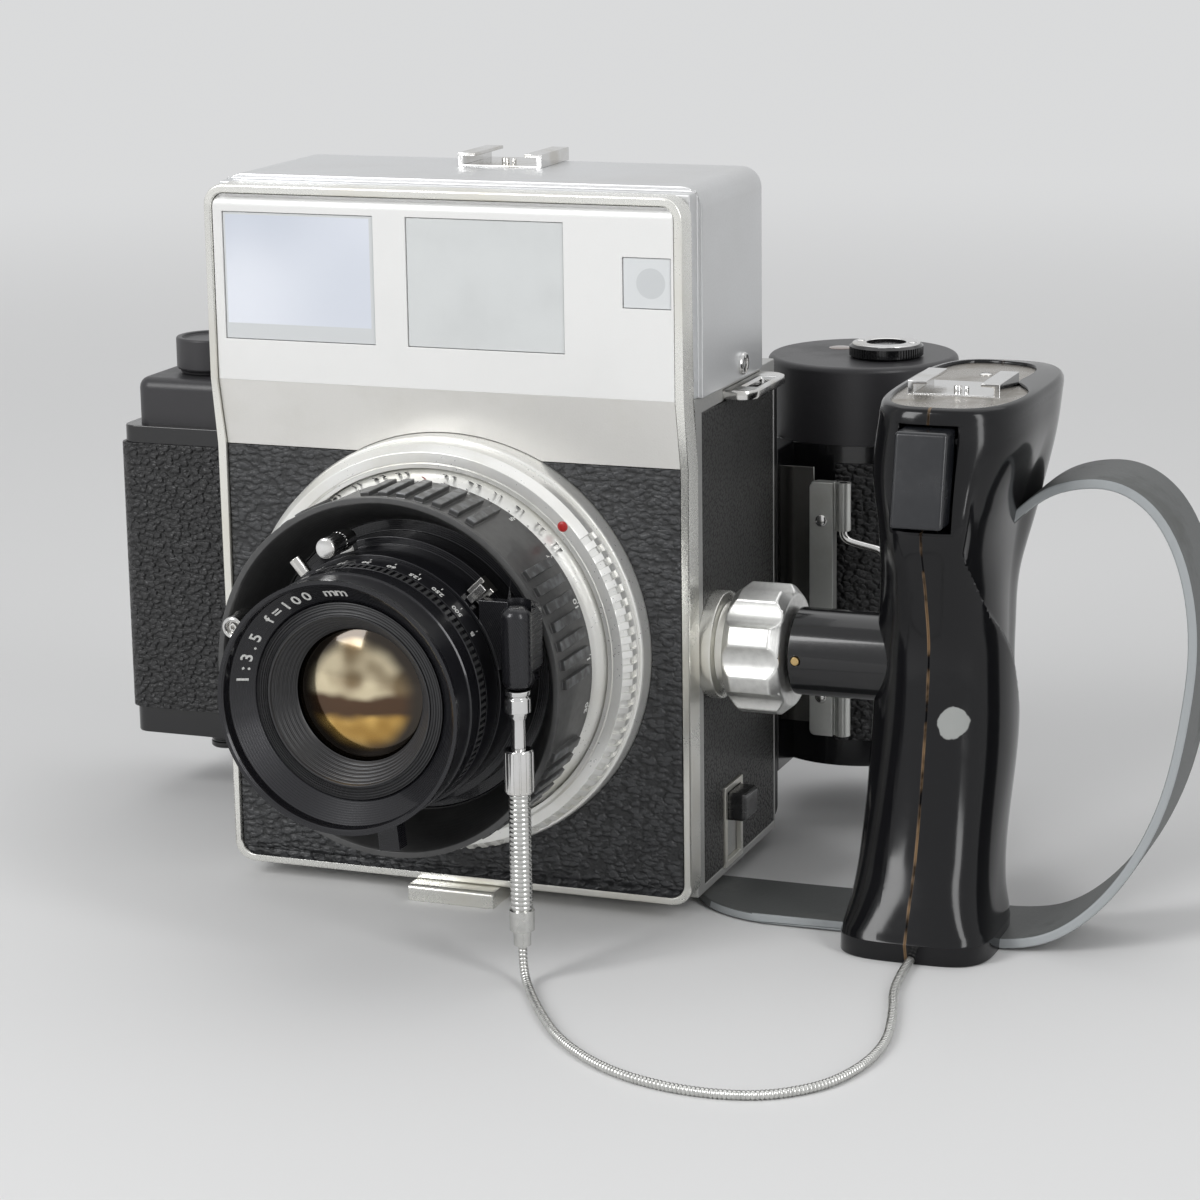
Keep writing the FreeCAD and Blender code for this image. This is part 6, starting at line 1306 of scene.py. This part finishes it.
form, edges = pulled_up([(122.9, -0.3), (123.42, -0.3), (123.46, 0.6)], plate_point, 96)
bmesh.ops.edgeloop_fill(form, edges=edges)
bmesh.ops.recalc_face_normals(form, faces=form.faces)
piece("grip_top_plate", form, TOP_PLATE_FINISH, "grip_plate", added=True)
for number, (right_of, behind) in enumerate(((-11.5, 20.0), (11.0, 22.0), (0.0, 31.0))):
    form = lathe([(0, -0.3), (1.6, -0.3), (1.6, 0.15), (1.2, 0.42), (0, 0.5)], 28, closed=False)
    sink(form, facing(form, lambda radius, along, turn, face: face.normal.z > 0.3 and turn % 180 < 20), 0.2)
    piece(f"grip_screw_{number}", form, CHROME, "grip_plate", at(GRIP_X + right_of, behind, 123.44), 35, added=True)

# %% Arm, knob and trigger
pins = paint(break_edges(merged_copy("grip_pins"), 0.2), lambda face, spot: spot.x > 100)
piece("arm_stop_and_pin", pins, (BRASS, BLACK_METAL), "grip_pins")
for node, finish, width, segments in (("grip_arm", BLACK_METAL, 0.4, 3), ("grip_plate", CHROME, 0.15, 2),
                                      ("trigger", TRIGGER_BLACK, 0.9, 4), ("grip_knob", KNOB_METAL, 0.4, 3)):
    eased(node, finish, width, segments)
contact_pin("grip_shoe_pin", "grip_plate")

# %% [markdown]
# ## Wrist strap
# The strap is a flat band of grey rubber. Its wide faces have gone dark and dusty, while its two narrow edges, the
# faces that look forward and back, are much paler, so the edge faces get a second, lighter finish before the corners
# are rounded.

# %% Wrist strap
band = paint(merged_copy("wrist_strap"), lambda face, spot: abs(face.normal.y) > 0.75)
piece("strap_band", break_edges(band, 0.5, 3), (RUBBER, RUBBER_EDGE), "wrist_strap", angle=40)

# %% [markdown]
# ## Film holder
# The roll film holder hangs behind the camera: a glossy painted case wrapped in pebbled leather, with a moulded cap
# over each of its two chambers. A cap is pressed from thick plastic and so has a large round on its top edge only.
# The bevel therefore takes a test that picks the outer loop of the top face.

# %% Case, caps and doors
for node, finish, width in (("holder_shell", HOLDER_PAINT, 0.35), ("holder_leather", HOLDER_LEATHER, 0.3),
                            ("supply_spool", MATTE_BLACK, 0.2), ("takeup_spool", MATTE_BLACK, 0.2),
                            ("film_roller_left", CHROME, 0.2), ("film_roller_right", CHROME, 0.2),
                            ("back_door", BLACK_PAINT, 0.4), ("pressure_plate", BLACK_PAINT, 0.2)):
    eased(node, finish, width)


def round_topped(node, axis_node, radius):
    """Cap whose outer top edge is rounded, but not its hole round a knob's shaft."""
    top, knob = span(node)[1].z, middle_of(axis_node)
    eased(node, CAP_BLACK, radius, 5, lambda edge: all(
        abs(vert.co.z - top) < 1e-5 and (vert.co.xy - knob.xy).length > 8 * MM for vert in edge.verts))


round_topped("supply_cap", "supply_knob", 2.8)
round_topped("takeup_cap", "wind_knob", 1.5)

# %% [markdown]
# ## Winding knobs
# Two knobs turn the spools. The supply knob is a plain drum with a recessed top. The winding knob is a low knurled
# disc with a polished plate on it, held by two screws. Both are lathe profiles, and the knurl is every second
# side face pushed in a little. Beside it a round brown window shows the number of the frame.

# %% Knobs
def upright(name, node, form, finish, **more):
    """Part turned about a node's upright axis, in real heights."""
    centre = middle_of(node)
    return piece(name, form, finish, node, Matrix.Translation((centre.x, centre.y, 0)), 35, **more)


DRUM_STEPS, DISC_STEPS, KNURL_DEPTH = 72, 150, 0.28
drum = lathe([(0, 96), (2.5, 96), (2.5, 111.1), (8.4, 111.1), (8.4, 111.9), (9.5, 112.3), (9.5, 120.5), (7.7, 120.5),
              (7.7, 119.8), (0, 119.8)], DRUM_STEPS, closed=False)
upright("supply_knob_drum", "supply_knob", break_edges(drum, 0.55, 3), CAP_BLACK)
disc = lathe([(0, 96), (2.5, 96), (2.5, 118.5), (8.7, 118.5), (9.3, 119.0), (9.3, 121.2), (8.6, 121.8), (5.4, 121.8),
              (5.0, 121.4), (0, 121.4)], DISC_STEPS, closed=False)
knurl = facing(disc, lambda radius, along, turn, face: radius > 9.02 and 119.2 < along < 121.0
               and int(turn / 360 * DISC_STEPS) % 2 == 0)
sink_each(disc, knurl, KNURL_DEPTH, 0.04)
upright("wind_knob_disc", "wind_knob", disc, HOLDER_PAINT)
ring = lathe([(5.0, 121.5), (8.5, 121.5), (8.5, 122.0), (8.2, 122.15), (5.2, 122.15), (5.0, 122.0)], 64, closed=False)
upright("wind_knob_plate", "wind_knob", break_edges(ring, 0.08, 3), CHROME, added=True, slot="chrome")
pin = lathe([(0, 9.5), (4.2, 9.5), (4.6, 9.9), (4.6, 11.0), (4.25, 11.2), (4.25, 11.6), (4.6, 11.8), (4.6, 13.0),
             (4.25, 13.2), (4.25, 13.6), (4.6, 13.8), (4.6, 16.4), (2.5, 16.4), (2.5, 34.9), (0, 34.9)],
            DRUM_STEPS, closed=False)
upright("supply_spool_pin", "spool_pin", break_edges(pin, 0.1, 3), HOLDER_PAINT, slot="black_plastic")

# %% Plate screws and counter window
def dome_screw(name, node, place, radius, height):
    """Small domed screw head with a slot across it, standing along the local Z axis."""
    form = lathe([(0, -0.3), (radius, -0.3), (radius, height * 0.35), (radius * 0.82, height * 0.75),
                  (radius * 0.45, height), (0, height)], 24, closed=False)
    groove = facing(form, lambda radius, along, turn, face: face.normal.z > 0.5 and turn % 180 < 7.6)
    sink(form, groove, height * 0.35)
    return piece(name, form, CHROME, node, place, 40, added=True, slot="chrome")


wind_centre = middle_of("wind_knob") / MM
for side, aside in (("left", -6.7), ("right", 6.7)):
    dome_screw(f"knob_screw_{side}", "wind_knob", at(wind_centre.x + aside, wind_centre.y, 122.1), 1.1, 0.3)
window = lathe([(0, -0.2), (3.0, -0.2), (3.0, 0.05), (2.4, 0.16), (0, 0.2)], 40, closed=False)
piece("counter_window", window, COUNTER_GLASS, "takeup_cap", at(61.2, 88.6, 118.4), added=True)

# %% [markdown]
# ## Dark slide and its handle
# The dark slide is a thin polished sheet that shuts the picture gate. A satin steel clamp is screwed to its outer
# end, rolled into two tubes, and a bent wire swings in them as a handle. The wire is a plain round section carried
# along a smooth line, so its bends are as round as a real bend in wire.

# %% Clamp
CLAMP_EDGE, CLAMP_FACE = 65.3 * MM, span("dark_slide")[0].y + 0.6 * MM
plate = merged_copy("dark_slide")
heads = [face for face in plate.faces if face.calc_center_median().y < CLAMP_FACE - 0.02 * MM]
bmesh.ops.delete(plate, geom=heads, context="FACES")
bmesh.ops.holes_fill(plate, edges=[edge for edge in plate.edges if edge.is_boundary], sides=0)
corners = [edge for edge in plate.edges
           if abs(edge.verts[0].co.y - edge.verts[1].co.y) > 1 * MM
           and all(abs(vert.co.x - CLAMP_EDGE) < 0.1 * MM for vert in edge.verts)]
round_off(plate, corners, 1.4, 5)
paint(break_edges(plate, 0.12), lambda face, spot: spot.x < CLAMP_EDGE / MM + 0.02)
piece("slide_plate", plate, (SATIN_STEEL, SLIDE_SHEET), "dark_slide")
for number, height in enumerate((37.0, 82.0)):
    dome_screw(f"clamp_screw_{number}", "dark_slide", at(68.4, CLAMP_FACE / MM, height) @ rotated(90, "X"), 1.55, 0.85)

# %% Wire handle
WIRE_STEPS = ((0, 27), (0, 32), (0, 38.5), (0, 41.6), (5.2, 42.8), (10.6, 43.6), (11.0, 50), (11.0, 57), (11.0, 62),
              (11.0, 69), (10.8, 75.0), (5.2, 76.0), (0, 77.2), (0, 80.5), (0, 86), (0, 91.5))
WIRE_RADIUS, WIRE_STEP = 1.0, 0.7
bail = middle_of("slide_bail")
pivot_x = span("slide_bail")[0].x + WIRE_RADIUS * MM
wire_line, wire_length = smooth_line([(pivot_x + out * MM, bail.y, up * MM) for out, up in WIRE_STEPS])
wire_end = wire_length / MM
wire = lathe([(0, 0), (WIRE_RADIUS, 0)]
             + [(WIRE_RADIUS, number * WIRE_STEP) for number in range(1, int(wire_end / WIRE_STEP))]
             + [(WIRE_RADIUS, wire_end), (0, wire_end)], 16, closed=False)
piece("bail_wire", carried(wire, wire_line, wire_length, 0.6, Y), CHROME, "slide_bail", angle=60)
print(f"handle: {wire_end:.0f} mm of wire")
